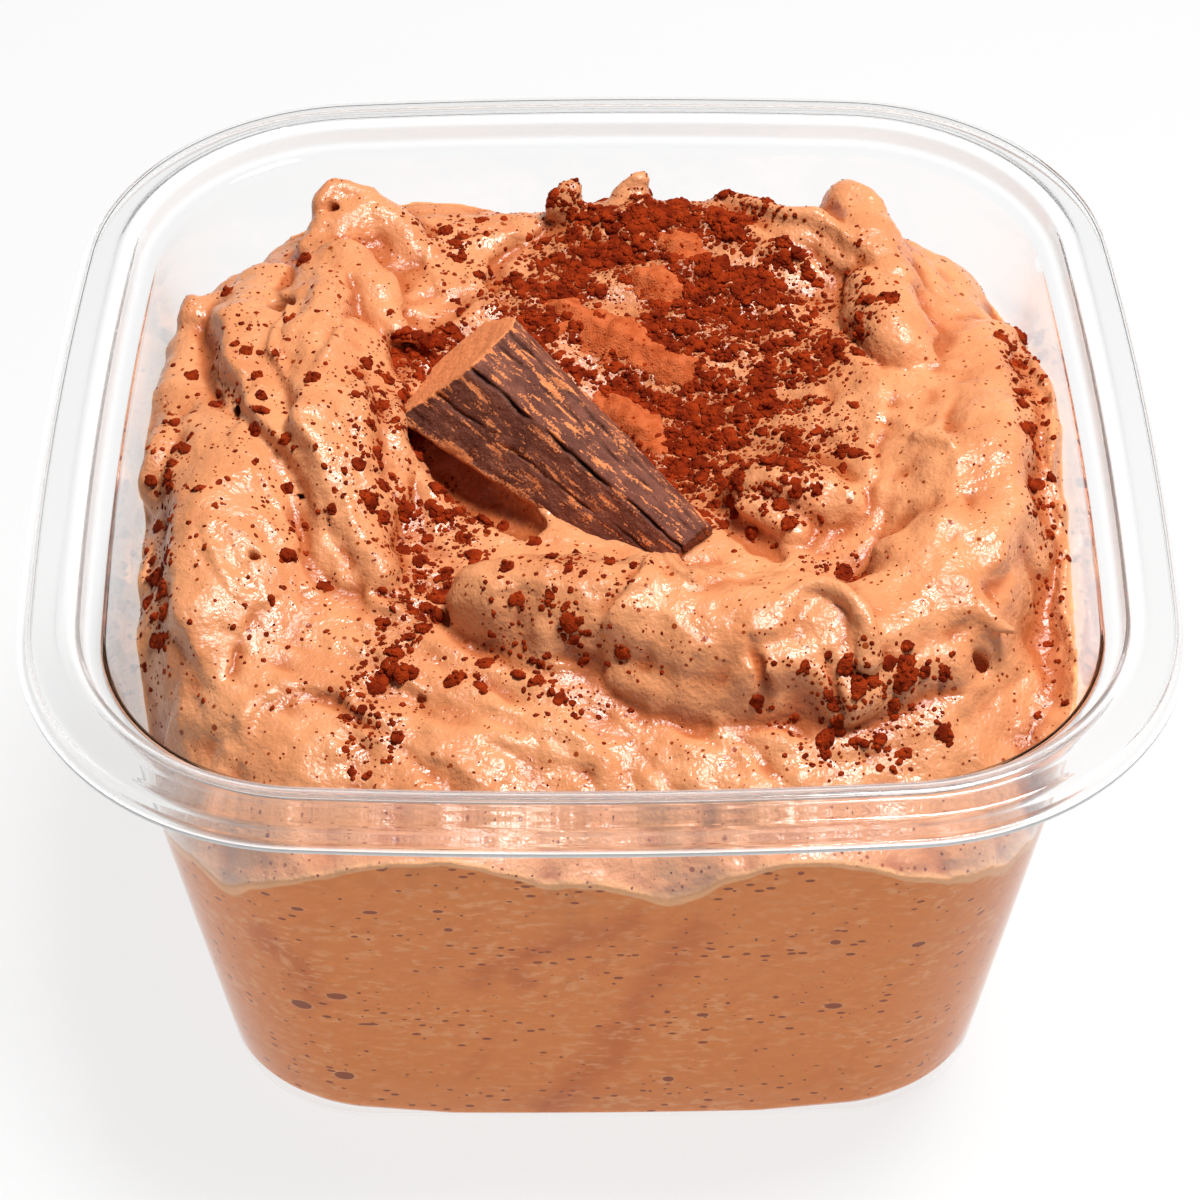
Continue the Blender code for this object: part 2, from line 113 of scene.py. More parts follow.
# Scallops of the edge on the wall: from and to in degrees round the tub (0 is right, 90 is back),
# height of the crown, and how far it falls by its ends.
EDGE_LOBES = (
    (-35, 32, 57.2, 4.0),
    (29, 62, 53.0, 3.0),
    (58, 100, 57.5, 3.0),
    (95, 131, 58.0, 5.0),
    (127, 166, 53.5, 4.0),
    (162, 184, 58.0, 5.0),
    (155, 212, 54.0, 14.0),
    (206, 238, 41.0, 2.5),
    (232, 268, 52.0, 8.0),
    (258, 277, 48.0, 4.0),
    (277, 309, 51.2, 10.0),
    (300, 312, 43.2, 3.0),
    (306, 328, 38.5, 2.0),
)

# Broad swells and hollows of the top: x, y, height, reach in x, reach in y.
SWELLS = (
    (34, 2, 4.0, 12, 20),
    (-38, -8, 3.0, 8, 18),
    (-33, 16, 2.6, 8, 18),
    (3, 9, -3.2, 15, 14),
    (22, 40, 1.4, 16, 8),
    (1, 46, 4.8, 9, 6),
    (-3, 46, 1.7, 2.6, 3.5),
    (4.6, 46.5, 2.1, 2.2, 3.5),
    (13, 44, 2.0, 8, 6),
    (-28, 41, 1.6, 5, 5),
    (31, 41, 1.6, 5, 5),
    (18, -22, 1.5, 16, 8),
    (-6, -27, 0.7, 22, 6),
)

# Broad ridges of the top, where spoonfuls lie: the width of the soft seam with the mass,
# and a route of x, y, z, radius.
RIDGES = (
    (3.0, ((-39, 5, 53.5, 8), (-39, -7, 53, 9), (-39.5, -17, 51, 8.5), (-38, -25, 48.5, 7.5))),
    (2.4, ((-44.5, 22.5, 55, 4.4), (-45, 14, 55, 5), (-44.5, 8, 54.5, 5))),
    (1.2, ((-37.6, 31, 57.6, 4.4), (-38.2, 21.5, 58.4, 5.0), (-37.4, 12.5, 58.2, 5.0), (-34.6, 4.5, 57.8, 4.4),
           (-31.4, -2, 57.2, 3.8), (-29.2, -8.5, 56.6, 3.0), (-27, -13, 55.8, 2.2))),
    (0.7, ((-30.5, 34, 58.0, 4.4), (-30.8, 27, 58.6, 4.8), (-30.2, 17, 58.6, 5.4), (-29.8, 8, 58.4, 5.4),
           (-28, 0, 58, 4.8), (-25.6, -7, 57.0, 3.8), (-23, -13, 56, 2.4))),
    (0.8, ((-26.5, 20.5, 58.4, 3.4), (-25.4, 12, 57.6, 4.2), (-24, 3, 56.8, 3.6), (-22.6, -3.5, 56, 2.2))),
    (1.0, ((-12.8, -18.2, 57.2, 3.0), (-10, -18.4, 57.2, 4.8), (-4, -19.6, 57.2, 6.2), (4, -20.4, 56.8, 7.0))),
    (1.2, ((2, -21.4, 56.8, 6.8), (10, -23.4, 56.8, 7.4), (18, -24.6, 57, 7.2), (25, -24.5, 57, 6.8),
           (31, -21.5, 57, 6.6), (36, -15, 57, 7.0))),
    (1.0, ((4, -27.5, 54.8, 4.0), (12, -29, 55, 4.6), (19, -29.6, 55.2, 4.4), (27, -29, 55.6, 4.4),
           (34, -26, 56, 4.2))),
    (3.0, ((42.5, 22, 53.5, 6), (44, 11, 54.5, 8), (41, -1, 54.5, 9.4), (39, -10.5, 54.5, 9), (36.5, -19, 54.5, 8))),
    (1.6, ((15, 43, 58.8, 2.4), (20.5, 40, 59.2, 2.8), (25, 37.4, 59.4, 2.8), (30, 33.5, 59.2, 2.8))),
    (1.8, ((-31.5, 38, 58.6, 3.4), (-28.5, 41, 59.4, 3.8), (-25, 41, 58.8, 3.6), (-22, 38.5, 57.4, 3.0))),
    (1.4, ((29.5, 43.5, 60.2, 3.2), (31.2, 39, 60, 3.2), (32.6, 34.5, 59.8, 3.0), (33.6, 30, 59.6, 3.0))),
    (1.2, ((17.5, -1, 57.2, 3.4), (21, -2.5, 57.4, 4), (25, -4.5, 57.6, 3.6))),
)
RIDGE_SHOULDER = 0.93            # share of its radius at which a ridge's side turns straight

# Lips, where one spoonful laps over another: the rise on the left of the route's direction,
# how far that rise takes to fade, and the route's x, y points.
LIPS = (
    (2.3, 3.6, ((-42.4, 27), (-41.8, 20.5), (-40.4, 12), (-37.8, 5.5), (-34.2, 1.5), (-31.7, -2.5), (-29.9, -8),
                (-28.5, -13))),
    (1.8, 3.4, ((-33.5, 32.5), (-35.2, 28.1), (-35.4, 21), (-35.9, 14), (-34.4, 9.2), (-32.4, 5), (-31.2, 0),
                (-29.4, -3.7), (-27.5, -6.5))),
    (1.9, 6.0, ((-45.3, 12), (-46, 2.5), (-46, -4), (-45, -16), (-43.5, -22), (-41.5, -26), (-38.5, -29),
                (-36.4, -28.5))),
    (1.0, 4.0, ((-48.2, -2), (-48.4, -12), (-47.2, -22), (-45, -29))),
    (1.7, 5.0, ((10, 43.5), (17, 43), (20, 40.2), (25, 37.7), (28.7, 34.6), (32.5, 31))),
    (-1.8, 5.0, ((-4, 46), (-6, 43.5), (-10.8, 38.9), (-12.6, 34.5), (-12.1, 30.6), (-10, 26))),
    (1.5, 8.0, ((41, -20), (43.4, -14), (45, -9), (46.3, -1.5), (47, 4), (46.5, 10))),
    (0.9, 3.0, ((-26.5, -11), (-25.5, -14.5), (-23.4, -17.7), (-20, -19.3))),
    (0.9, 4.0, ((-14, -22), (-8.5, -26), (-4.4, -27.7), (1, -30.5))),
    (0.8, 4.0, ((-28.2, 12), (-26.6, 4.5), (-25, -1.5), (-23.8, -6.5))),
    (0.9, 4.0, ((-38, -34), (-33, -30), (-28, -29), (-23, -30.5))),
    (0.8, 5.0, ((30, -38), (36, -33), (41, -26))),
    (1.7, 3.4, ((6, -13.6), (5.5, -17.5), (3.4, -22.6), (0.6, -26.5), (0, -29.4))),
    (1.3, 3.0, ((7.3, -13.8), (7.3, -17.6), (8.4, -20.6), (11, -22.4))),
    (1.6, 4.0, ((12.6, 2), (13.4, -2), (15.4, -5.4), (18, -8), (21.5, -10.6))),
    (0.7, 4.0, ((-16, -34), (-11, -36.5), (-5, -37.6), (2, -41))),
    (0.7, 4.0, ((-27, -38), (-22, -36), (-16, -38), (-11, -42))),
    (0.6, 4.0, ((28.5, 8), (32.3, 3.8), (35.1, -1), (38, -4.2))),
    (0.8, 5.0, ((-17, 44.5), (-20, 39), (-20.5, 34), (-17.5, 29))),
    (0.6, 5.0, ((8, -31.5), (15, -36), (24, -37.5), (31, -36.4))),
)

# Rolls and curls that stand free of the mass, in the same form as the ridges.
FOLDS = (
    (0.8, ((-3.8, 44.8, 61.0, 2.3), (-3.2, 45.2, 62.6, 1.4))),
    (0.8, ((4.0, 45.2, 61.0, 2.1), (4.8, 45.6, 62.9, 1.2))),
    (0.8, ((-29, 33.5, 60.2, 3.4), (-25.6, 28.4, 60.6, 2.6), (-24, 24.4, 60.4, 1.8), (-22.2, 22.4, 60.4, 1.0),
           (-20.2, 20.6, 60.6, 0.35))),
    (0.9, ((-30.4, 43.0, 62.4, 1.9), (-29.2, 43.8, 63.3, 1.6), (-27.2, 43.2, 62.5, 1.5), (-25.6, 41.4, 61.4, 1.8))),
    (0.8, ((-33.5, 37, 60.6, 1.4), (-31.4, 39.6, 61.4, 1.5))),
    (0.6, ((17.4, -28, 62.8, 1.0), (19.4, -24.2, 64.0, 1.1), (22.4, -23.2, 64.6, 1.2), (25, -25, 64.4, 1.3),
           (26.4, -27.7, 63.4, 1.3), (26.9, -30.8, 61.2, 1.2))),
    (1.0, ((15.5, -30.4, 59.2, 2.6), (18.5, -30.2, 60, 2.6), (21.6, -31, 59.2, 2.2))),
    (1.0, ((23.6, -32.4, 57.8, 2.2), (26.5, -32, 57.2, 2.4))),
    (1.1, ((31.2, -16.5, 60.2, 3.4), (35, -19.8, 61.0, 2.4), (37.6, -22.2, 61.4, 1.4), (41.3, -25.4, 60.6, 0.4))),
    (1.0, ((29.4, 43.0, 62.2, 2.0), (31.0, 41.6, 62.4, 1.9), (31.6, 38, 61.6, 1.7), (33, 34, 61, 1.6),
           (33.2, 30.4, 60.6, 2.0))),
    (0.4, ((31.2, 28.5, 59.6, 3.4), (32.2, 23.5, 59.8, 4.5), (34.2, 19, 59.6, 4.0), (36.8, 15.6, 59.0, 2.0))),
    (0.6, ((-46.5, 8, 58, 2.2), (-47, 4, 58.6, 2.5), (-47, 0.5, 57.8, 2.2), (-47, -2.5, 56, 0.9))),
    (1.2, ((-42.5, 28, 57.6, 3.0), (-44.5, 26.5, 58.4, 2.4), (-45, 27.5, 59.6, 1.4))),
    (0.8, ((14.6, 0.4, 57.6, 1.0), (15.4, -3.4, 58.0, 1.3), (17.8, -6.4, 58.0, 1.4), (21.0, -8.4, 57.6, 1.2))),
)

# The hollow under the chunk's lower edge, in the same form; some powder lies in it, and it is painted dark as the
# chunk's shadow.
UNDER_CHUNK = ((-22.2, 10.2, 57.4, 2.6), (-17.2, 5.0, 56.6, 3.9), (-12.2, -0.2, 56.0, 3.5), (-8.2, -4.6, 55.6, 2.2))
HOLLOW_SHADOW = 0.6               # how strongly the painted shadow darkens it
HOLLOW_FADE = 0.8                # and how far from its skin the painted shadow still shows

# Hollows pressed into the mass, in the same form.
HOLLOWS = (
    (0.6, ((-35.5, 24.5, 64, 1.2), (-35.6, 22.4, 61, 1.5), (-35.4, 21.0, 57.5, 1.3))),
    (0.4, ((-34.2, 20.0, 63.2, 0.5), (-34.4, 12.0, 62.6, 0.8), (-32.2, 5.0, 62.0, 0.9), (-30.0, -2.0, 61.0, 0.8),
           (-27.6, -8.0, 59.6, 0.6))),
    (0.4, ((-41.2, 15.0, 60.6, 0.6), (-38.6, 7.0, 60.8, 0.9), (-34.6, 0.8, 60.2, 0.9), (-31.6, -4.6, 59.4, 0.7))),
    (0.4, ((28.6, 24.0, 57.2, 1.4), (29.8, 19.4, 56.6, 1.9), (32.8, 14.8, 56.8, 1.8), (36.2, 12.6, 57.4, 1.0))),
    (0.5, ((-46, 4, 55.6, 1.3), (-45.5, 1, 54.8, 1.5), (-45.5, -2, 53.8, 1.3))),
    (0.3, ((38.6, -26.6, 59, 0.8), (38.2, -26, 56, 0.9))),
    (0.5, ((15.0, -28.6, 63.2, 0.3), (15.8, -31.6, 60.6, 0.7), (16.6, -34.2, 57.6, 0.9))),
    (0.5, ((22.6, -30.5, 61.6, 0.3), (23.0, -33.0, 59.6, 0.7), (23.2, -35.2, 57.2, 0.9))),
    (0.4, ((12.6, -0.6, 58.0, 0.7), (13.6, -4.6, 57.2, 1.2), (16.0, -8.0, 57.0, 1.1), (19.0, -10.6, 57.2, 0.7))),
    (0.5, ((-15.5, -16.5, 57.4, 1.1), (-15, -19.5, 56.2, 1.1))),
    (0.2, ((-36.2, -14.5, 64, 0.5), (-36.2, -14.2, 57, 0.4))),
    (0.2, ((-18.2, -29.2, 62, 0.5), (-18.2, -29, 54, 0.4))),
    (0.6, UNDER_CHUNK),
    (0.3, ((19.4, -29.5, 63.4, 0.7), (20.4, -26.6, 64.6, 0.8), (22.4, -25.4, 65.0, 0.8), (24.0, -27.2, 64.4, 0.8),
           (24.2, -30.0, 62.6, 0.7))),
    (0.5, ((-31, 41, 64, 0.6), (-28.6, 41.2, 61.6, 0.9), (-27, 41, 61.2, 0.7))),
)

ROUTE_STEPS = 4                  # pieces between two points of a route
BEND_STEPS = 5                   # segments in a bend of the tub's section
LIP_EDGE = 0.35                  # width of the step at a lip
LIP_TAPER = 5.0                  # a lip rises over this part, one over it, of its length
LOBE_REACH = 1.15                # how far past its ends a scallop still holds
EDGE_JITTER = 0.35
EDGE_LINE = 0.55                 # width of the paler line along that edge
# Painted shade in the creases: where the skin lies below its surroundings it is coloured darker and redder, in place of
# its shade.
CREASE_SPAN = 3.0                # distance over which a crease is felt
CREASE_START = 0.05              # how far the skin lies below its surroundings where a crease begins
CREASE_DEPTH = 0.28              # and how much further in a full crease
EDGE_STEP = 0.25                 # degrees
EDGE_SOFT = 0.5                  # how far the scallops are smoothed at the wall, in degrees
INNER_SOFT = 7.0                 # and inside
INNER_DEPTH = 4.0                # how far in that smoothing takes to grow
LEAST_LEAN = 0.35
WARPS = ((9.0, 1.3, 11), (4.0, 0.8, 23), (1.9, 0.3, 29))      # the plan's wobble: cell, shift, seed
BUMPS = ((11.0, 0.9, 17), (5.0, 0.4, 19))                     # lumps of the whole top: cell, height, seed
RELIEF = ((6.0, 0.32, 13), (2.6, 0.18, 31), (1.3, 0.10, 41), (0.75, 0.05, 53))  # relief of the skin
RELIEF_MARGIN = 0.6              # the skin is smooth this close to the wall

# Ripples left by the spoon at the front left: spacing, length, height, direction in degrees.
RIPPLE_SPACING = 2.1
RIPPLE_LENGTH = 9.0
RIPPLE_HEIGHT = 0.75
RIPPLE_TURN = -47.0
RIPPLE_PATCHES = ((-10, -34, 24, 10, 1.0), (-20, -22, 12, 9, 0.8), (12, -38, 16, 7, 0.7))

# Laps left by stirring: they run round a centre, each rising outwards and ending in a small step.
SWIRL_CENTRE = (3.0, 8.0)
SWIRL_CALM = 9.0                 # the laps grow from this far out to twice as far
LAP_SPACING = 7.5
LAP_HEIGHT = 0.9
LAP_EDGE = 0.14                  # share of a lap taken by its step
LAP_WOBBLE = 0.55
WRINKLE_SPACING = 1.7            # fine wrinkles that run the same way
WRINKLE_LENGTH = 9.0
WRINKLE_HEIGHT = 0.28

# Thin film of mousse that stands up along the wall: from and to in degrees, rise, thickness.
FILMS = ((-34, 24, 1.2, 0.6), (184, 216, 1.1, 0.6))
FILM_GROOVE = 1.2                # how much lower the mousse is just inside the film
FILM_REACH = 1.8

# Air bubbles against the front wall, painted as dark spots of shade with no hollow in the mesh: x, z, half-length,
# half-height.
FRONT_BUBBLES = (
    (-31.8, 23.8, 1.15, 0.85),
    (-27.9, 26.5, 1.15, 0.65),
    (-28.2, 10.0, 1.15, 0.85),
    (23.9, 24.0, 1.0, 0.6),
    (10.2, 22.9, 0.7, 0.4),
    (6.8, 9.5, 0.65, 0.6),
    (23.4, 36.5, 0.6, 0.5),
    (32.0, 34.7, 0.8, 0.45),
    (-23.5, 42.8, 0.8, 0.35),
    (-30.8, 42.8, 0.7, 0.35),
    (-16.7, 43.2, 0.6, 0.3),
    (-15.8, 39.8, 0.5, 0.35),
    (-25.0, 21.0, 1.2, 0.25),
)
BUBBLE_RIM = 1.35                # reach of the pale ring round a bubble, in half-sizes of it

# Darker streaks of denser mousse along the front wall: reach, and the route's x, z points.
FRONT_STREAKS = (
    (2.0, ((9.0, 39.5), (5.0, 30.5), (3.0, 22.0), (0.5, 14.5), (-3.5, 8.0), (-6.0, 2.5))),
    (1.4, ((3.0, 41.5), (-4.0, 37.5), (-10.5, 34.0), (-13.5, 30.0))),
    (1.0, ((-10.5, 34.0), (-8.5, 29.0))),
    (1.5, ((-34.5, 36.0), (-31.5, 30.5), (-31.0, 26.0))),
)
STREAK_FADE = 2.2                # a streak has faded out this many reaches from its middle
STREAK_FRAY = 6.0                # wobble of the streaks
FRONT_DEPTH = -36.0              # the front wall's mousse lies before this y

# --- chunk: a broken wedge, its thick end up and its tip in the mousse --------------------------
CHUNK_END = (-15.9, 14.0, 62.3)      # middle of the thick end
CHUNK_TIP = (9.0, -9.6, 55.4)        # middle of the tip
CHUNK_ROLL = 28.0                    # turn about its length, in degrees
CHUNK_WIDTH = (17.0, 8.6)            # at the thick end and at the tip
CHUNK_DEPTH = (9.6, 6.4)
CHUNK_SECTION = ((0.50, 0.12), (0.42, 0.37), (0.04, 0.50), (-0.50, 0.02), (-0.44, -0.50), (0.40, -0.50))
CHUNK_SKEW = (0.12, 0.85)            # how the thick end slants across the width and the depth
CHUNK_EDGE = 0.2                     # roundness of its edges
CHUNK_VOXEL = 0.2
CHUNK_CHIPS = ((4.5, 0.16, 81), (1.6, 0.10, 83), (0.7, 0.07, 89))    # broken relief: cell, height, seed
CHUNK_STRIPES = 0.07                 # height of the grain along its length
CHUNK_STRIPE_LENGTH = 9.0
CHUNK_STRIPE_SPACING = 0.5
# Cracks along it: where across its width, how wide, how deep.
CHUNK_CRACKS = ((0.02, 0.016, 0.6), (-0.24, 0.010, 0.3), (0.27, 0.010, 0.3), (0.38, 0.010, 0.35))
CRACK_WOBBLE = 0.03
CHUNK_DUSTY_EDGE = -0.44             # powder clings to the edge beyond this, across the width
MOST_CHUNK_TRIANGLES = 60000

# --- cocoa --------------------------------------------------------------------------------------
# Where it lies: x, y, reach along and across, turn in degrees, share.
COCOA_PATCHES = (
    (6, 28, 17, 13, -25, 1.0),
    (7, 38, 11, 8, -10, 1.0),
    (9, 14, 13, 12, -35, 1.0),
    (20, 22, 9.5, 9, -40, 0.55),
    (16, 4, 10, 9, -30, 0.5),
    (-13, 39, 8, 6, 0, 0.16),
    (-17, 20, 6, 4, 30, 0.8),
    (-20.5, 6.5, 4.5, 2.6, -48, 0.55),
    (-11, -4, 6, 1.6, -45, 0.3),
    (-23, 5, 5, 14, -12, 0.2),
    (-17.5, -7, 6, 6, 0, 0.3),
    (-21, -21, 2.8, 13, -18, 0.4),
    (-22, -33, 3, 5, -30, 0.25),
    (-2, -19, 5, 5, 0, 0.14),
    (24, -15, 3, 4, 0, 0.3),
    (26, -34, 8, 4, 10, 0.25),
    (-6, -27, 9, 5, -30, 0.14),
    (-36, 2, 10, 32, 0, 0.04),
    (46.3, 2, 2.2, 24, 0, 0.18),
    (-46.3, -8, 2.2, 22, 0, 0.14),
)
# Smooth heaps of powder: x, y, reach along and across, turn in degrees, rise.
COCOA_HEAPS = (
    (1.5, 24.5, 4.3, 2.6, -20, 1.4),
    (6.2, 32.0, 3.9, 1.9, -15, 1.2),
    (9.4, 37.3, 3.2, 1.8, -10, 1.0),
    (3.3, 13.5, 5.2, 2.1, -52, 1.4),
    (8.0, 19.5, 4.4, 2.0, -35, 0.9),
    (-3.4, 28.5, 2.8, 1.6, -10, 0.8),
)
HEAP_MARGIN = 8.0
HEAP_VOXEL = 0.28
HEAP_FLOOR = 0.45                # how far below the skin the powder's surface lies where there is none
HEAP_SINK = 0.2                  # how far the heaps reach into the mousse
HEAP_BUMPS = ((3.0, 0.30, 89), (1.5, 0.42, 91), (0.7, 0.22, 93))
STREAK_TURN = -28.0              # direction of the streaks in the cocoa
STREAK_LENGTH = 3.5
STREAK_SPACING = 2.2
DUST_EVERYWHERE = 0.03

# --- materials ----------------------------------------------------------------------------------
WALL_STREAK_TURN = (0.0, 0.47, 0.0)
WALL_STREAK_SCALE = (1.0, 1.0, 5.0)

# --- stage --------------------------------------------------------------------------------------
HORIZON_SHARE = 0.85                 # brightness of the surround at the horizon, to overhead
FRONT_SHARE = 0.36                   # how much brighter the front of the surround is than its middle
KEY_PLACE = (0.14, 0.04, 0.53)       # metres
KEY_SIZE = 0.16                      # metres
FLOOR_GLOW = 0.81                    # the table is lit from below too
CAMERA_PLACE = (-1.67, -252.84, 288.0)
CAMERA_TURN = (45.55, 0.143, -0.49)  # degrees
CAMERA_LENS = 95.55                  # on the default 36 mm sensor


def corner_radius(height):
    """Corner radius of the wall's middle sheet at a height."""
    share = np.minimum(height / SHOULDER_HEIGHT, 1.0)
    return BASE_CORNER + (SHOULDER_CORNER - BASE_CORNER) * share


def side_bow(height):
    """Radius of the bowed sides at a height."""
    share = np.minimum(height / RIM_HEIGHT, 1.0)
    return 1.0 / (1.0 / BASE_BOW + (1.0 / RIM_BOW - 1.0 / BASE_BOW) * share)


def wall_half(height):
    """Half-width of the wall's middle sheet at a height."""
    slope = (SHOULDER_HALF - BASE_HALF) / SHOULDER_HEIGHT
    return BASE_HALF + slope * height - SHEET / 2


def corner_centre(half, radius, bow):
    """Distance from the axes to the centre of the corner arc of a bowed rounded square."""
    reach = bow - half
    linear = 2 * reach
    constant = reach ** 2 - (bow - radius) ** 2
    return (-linear + np.sqrt(linear ** 2 - 8 * constant)) / 4


def wall_room(x, y, height):
    """How far inside the wall's inner face points are at a height, in arrays."""
    half = wall_half(height) - SHEET / 2
    radius = corner_radius(height) - SHEET / 2
    bow = side_bow(height)
    centre = corner_centre(half, radius, bow)
    across = np.maximum(np.abs(x), np.abs(y))
    along = np.minimum(np.abs(x), np.abs(y))
    side = bow - np.hypot(across - half + bow, along)
    corner = radius - np.hypot(across - centre, along - centre)
    in_corner = along * (centre - half + bow) > centre * (across - half + bow)
    return np.where(in_corner, corner, side)


def grain(x, y, z, cell, seed):
    """Smooth noise from about -1 to 1 at each point, with lumps about as large as the cell."""
    points = np.stack(np.broadcast_arrays(x, y, z), axis=-1).reshape(-1, 3) / cell + seed * 7.31
    values = np.array([noise.noise(point) for point in points.tolist()])
    return values.reshape(np.broadcast(x, y, z).shape)


def smooth_route(route):
    """A route with more points, on a smooth curve through its own."""
    points = np.array(route, float)
    if len(points) == 2:
        return points
    ends = np.vstack([2 * points[0] - points[1], points, 2 * points[-1] - points[-2]])
    made = []
    for before, start, end, after in zip(ends, ends[1:], ends[2:], ends[3:]):
        for step in range(ROUTE_STEPS):
            share = step / ROUTE_STEPS
            line = (end - before) * share
            curve = (2 * before - 5 * start + 4 * end - after) * share ** 2
            twist = (3 * start - before - 3 * end + after) * share ** 3
            made.append(start + (line + curve + twist) / 2)
    made.append(points[-1])
    return np.array(made)


def soft_union(first, second, width):
    """Join two distance fields, with a soft seam."""
    blend = np.maximum(width - np.abs(first - second), 0.0) / width
    return np.minimum(first, second) - blend ** 2 * width / 4


def round_intersection(first, second, radius):
    """Keep what two distance fields share, with a rounded edge."""
    outside = np.hypot(np.maximum(first + radius, 0.0), np.maximum(second + radius, 0.0))
    return np.minimum(np.maximum(first, second), -radius) + outside


def round_smoothed(values, spread):
    """Values round a circle, smoothed over a spread counted in steps."""
    steps = np.arange(-3 * math.ceil(spread), 3 * math.ceil(spread) + 1)
    weights = np.exp(-(steps / spread) ** 2 / 2)
    total = sum(np.roll(values, step) * weight for step, weight in zip(steps, weights))
    return total / weights.sum()


def lip_rise(x, y, rise, fade, route):
    """Height that one lip adds at each point of the plan."""
    points = smooth_route(route)
    lengths = np.hypot(*(points[1:] - points[:-1]).T)
    ends = np.concatenate([[0.0], np.cumsum(lengths)])
    nearest = np.full(x.shape, 1e3)
    side = np.zeros(x.shape)
    place = np.zeros(x.shape)
    for (ax, ay), (bx, by), length, start in zip(points, points[1:], lengths, ends):
        dx, dy = bx - ax, by - ay
        share = np.clip(((x - ax) * dx + (y - ay) * dy) / length ** 2, 0.0, 1.0)
        gap = np.hypot(x - ax - share * dx, y - ay - share * dy)
        closer = gap < nearest
        nearest = np.where(closer, gap, nearest)
        side = np.where(closer, dx * (y - ay) - dy * (x - ax), side)
        place = np.where(closer, (start + share * length) / ends[-1], place)
    taper = np.clip(np.minimum(place, 1 - place) * LIP_TAPER, 0.0, 1.0)
    taper = taper * taper * (3 - 2 * taper)
    step = 0.5 + 0.5 * np.tanh(np.sign(side) * nearest / LIP_EDGE)
    return rise * step * taper * np.exp(-nearest / fade)


def edge_height(x, y, depth):
    """Height of the mousse's edge in the direction of each point, smoother away from the wall."""
    angles = np.arange(-180.0, 180.0, EDGE_STEP)
    around = np.full(len(angles), LOWEST_EDGE)
    for start, end, crown, fall in EDGE_LOBES:
        away = (angles - (start + end) / 2 + 180) % 360 - 180
        share = 2 * away / (end - start)
        lobe = np.where(np.abs(share) < LOBE_REACH, crown - fall * share ** 2, LOWEST_EDGE)
        around = np.maximum(around, lobe)
    at_wall, inside = (round_smoothed(around, spread / EDGE_STEP) for spread in (EDGE_SOFT, INNER_SOFT))
    turn = np.degrees(np.arctan2(y, x))
    share = np.clip(depth / INNER_DEPTH, 0.0, 1.0)
    share = share * share * (3 - 2 * share)
    height = np.interp(turn, angles, at_wall, period=360.0) * (1 - share)
    height = height + np.interp(turn, angles, inside, period=360.0) * share
    jitter = grain(50 * np.cos(np.radians(turn)), 50 * np.sin(np.radians(turn)), 0.0, 2.5, 3)
    return height + EDGE_JITTER * jitter * (1 - share)


def ripples(x, y):
    """Height of the spoon's ripples."""
    turn = math.radians(RIPPLE_TURN)
    along = x * math.cos(turn) + y * math.sin(turn)
    across = y * math.cos(turn) - x * math.sin(turn)
    strength = 0.0
    for centre_x, centre_y, reach_x, reach_y, share in RIPPLE_PATCHES:
        strength = strength + share * np.exp(-((x - centre_x) / reach_x) ** 2 - ((y - centre_y) / reach_y) ** 2)
    wave = grain(along / RIPPLE_LENGTH, across / RIPPLE_SPACING, 0.0, 1.0, 61)
    return RIPPLE_HEIGHT * np.minimum(strength, 1.0) * wave


def laps(x, y):
    """Height of the laps and wrinkles left by stirring round the centre."""
    away_x, away_y = x - SWIRL_CENTRE[0], y - SWIRL_CENTRE[1]
    radius = np.hypot(away_x, away_y) + 0.1
    angle = np.arctan2(away_y, away_x)
    phase = radius / LAP_SPACING + angle / (2 * math.pi) + LAP_WOBBLE * grain(x, y, 0.0, 15.0, 43)
    ramp = phase % 1.0
    lap = np.minimum(ramp / (1 - LAP_EDGE), (1 - ramp) / LAP_EDGE)
    strength = np.clip(0.45 + 1.4 * grain(x, y, 9.0, 13.0, 47), 0.0, 1.0) * np.clip(radius / SWIRL_CALM - 1, 0, 1)
    around = grain(away_x / radius * 3.0, away_y / radius * 3.0, radius / WRINKLE_LENGTH, 1.0, 59)
    wrinkle = grain(radius, around * WRINKLE_LENGTH + angle * 4.0, 0.0, WRINKLE_SPACING, 67)
    return LAP_HEIGHT * lap * strength + WRINKLE_HEIGHT * wrinkle


def film_rise(x, y, room):
    """Height of the thin films along the wall, and of the groove inside them."""
    turn = np.degrees(np.arctan2(y, x))
    total = np.zeros(np.shape(x))
    for start, end, rise, thick in FILMS:
        away = np.abs((turn - (start + end) / 2 + 180) % 360 - 180)
        share = np.clip(((end - start) / 2 - away) / 4.0, 0.0, 1.0)
        ragged = rise * (0.7 + 0.6 * grain(x, y, 0.0, 1.6, 73))
        film = ragged * np.exp(-(room / thick) ** 4)
        groove = FILM_GROOVE * np.exp(-((room - 2.0) / FILM_REACH) ** 2) * (room > 0)
        total = total + share * (film - groove)
    return total


def ridge_height(x, y, route):
    """Height of a ridge's rounded back over the plan, falling steeply outside it."""
    highest = np.full(x.shape, -1e3)
    points = smooth_route(route)
    for (ax, ay, az, a_radius), (bx, by, bz, b_radius) in zip(points, points[1:]):
        dx, dy = bx - ax, by - ay
        share = np.clip(((x - ax) * dx + (y - ay) * dy) / (dx * dx + dy * dy), 0.0, 1.0)
        away = np.hypot(x - ax - share * dx, y - ay - share * dy)
        radius = a_radius + share * (b_radius - a_radius)
        shoulder = radius * RIDGE_SHOULDER
        back = np.sqrt(radius ** 2 - np.minimum(away, shoulder) ** 2)
        fall = np.maximum(away - shoulder, 0.0) * RIDGE_SHOULDER / math.sqrt(1 - RIDGE_SHOULDER ** 2)
        highest = np.maximum(highest, az + share * (bz - az) + back - fall)
    return highest


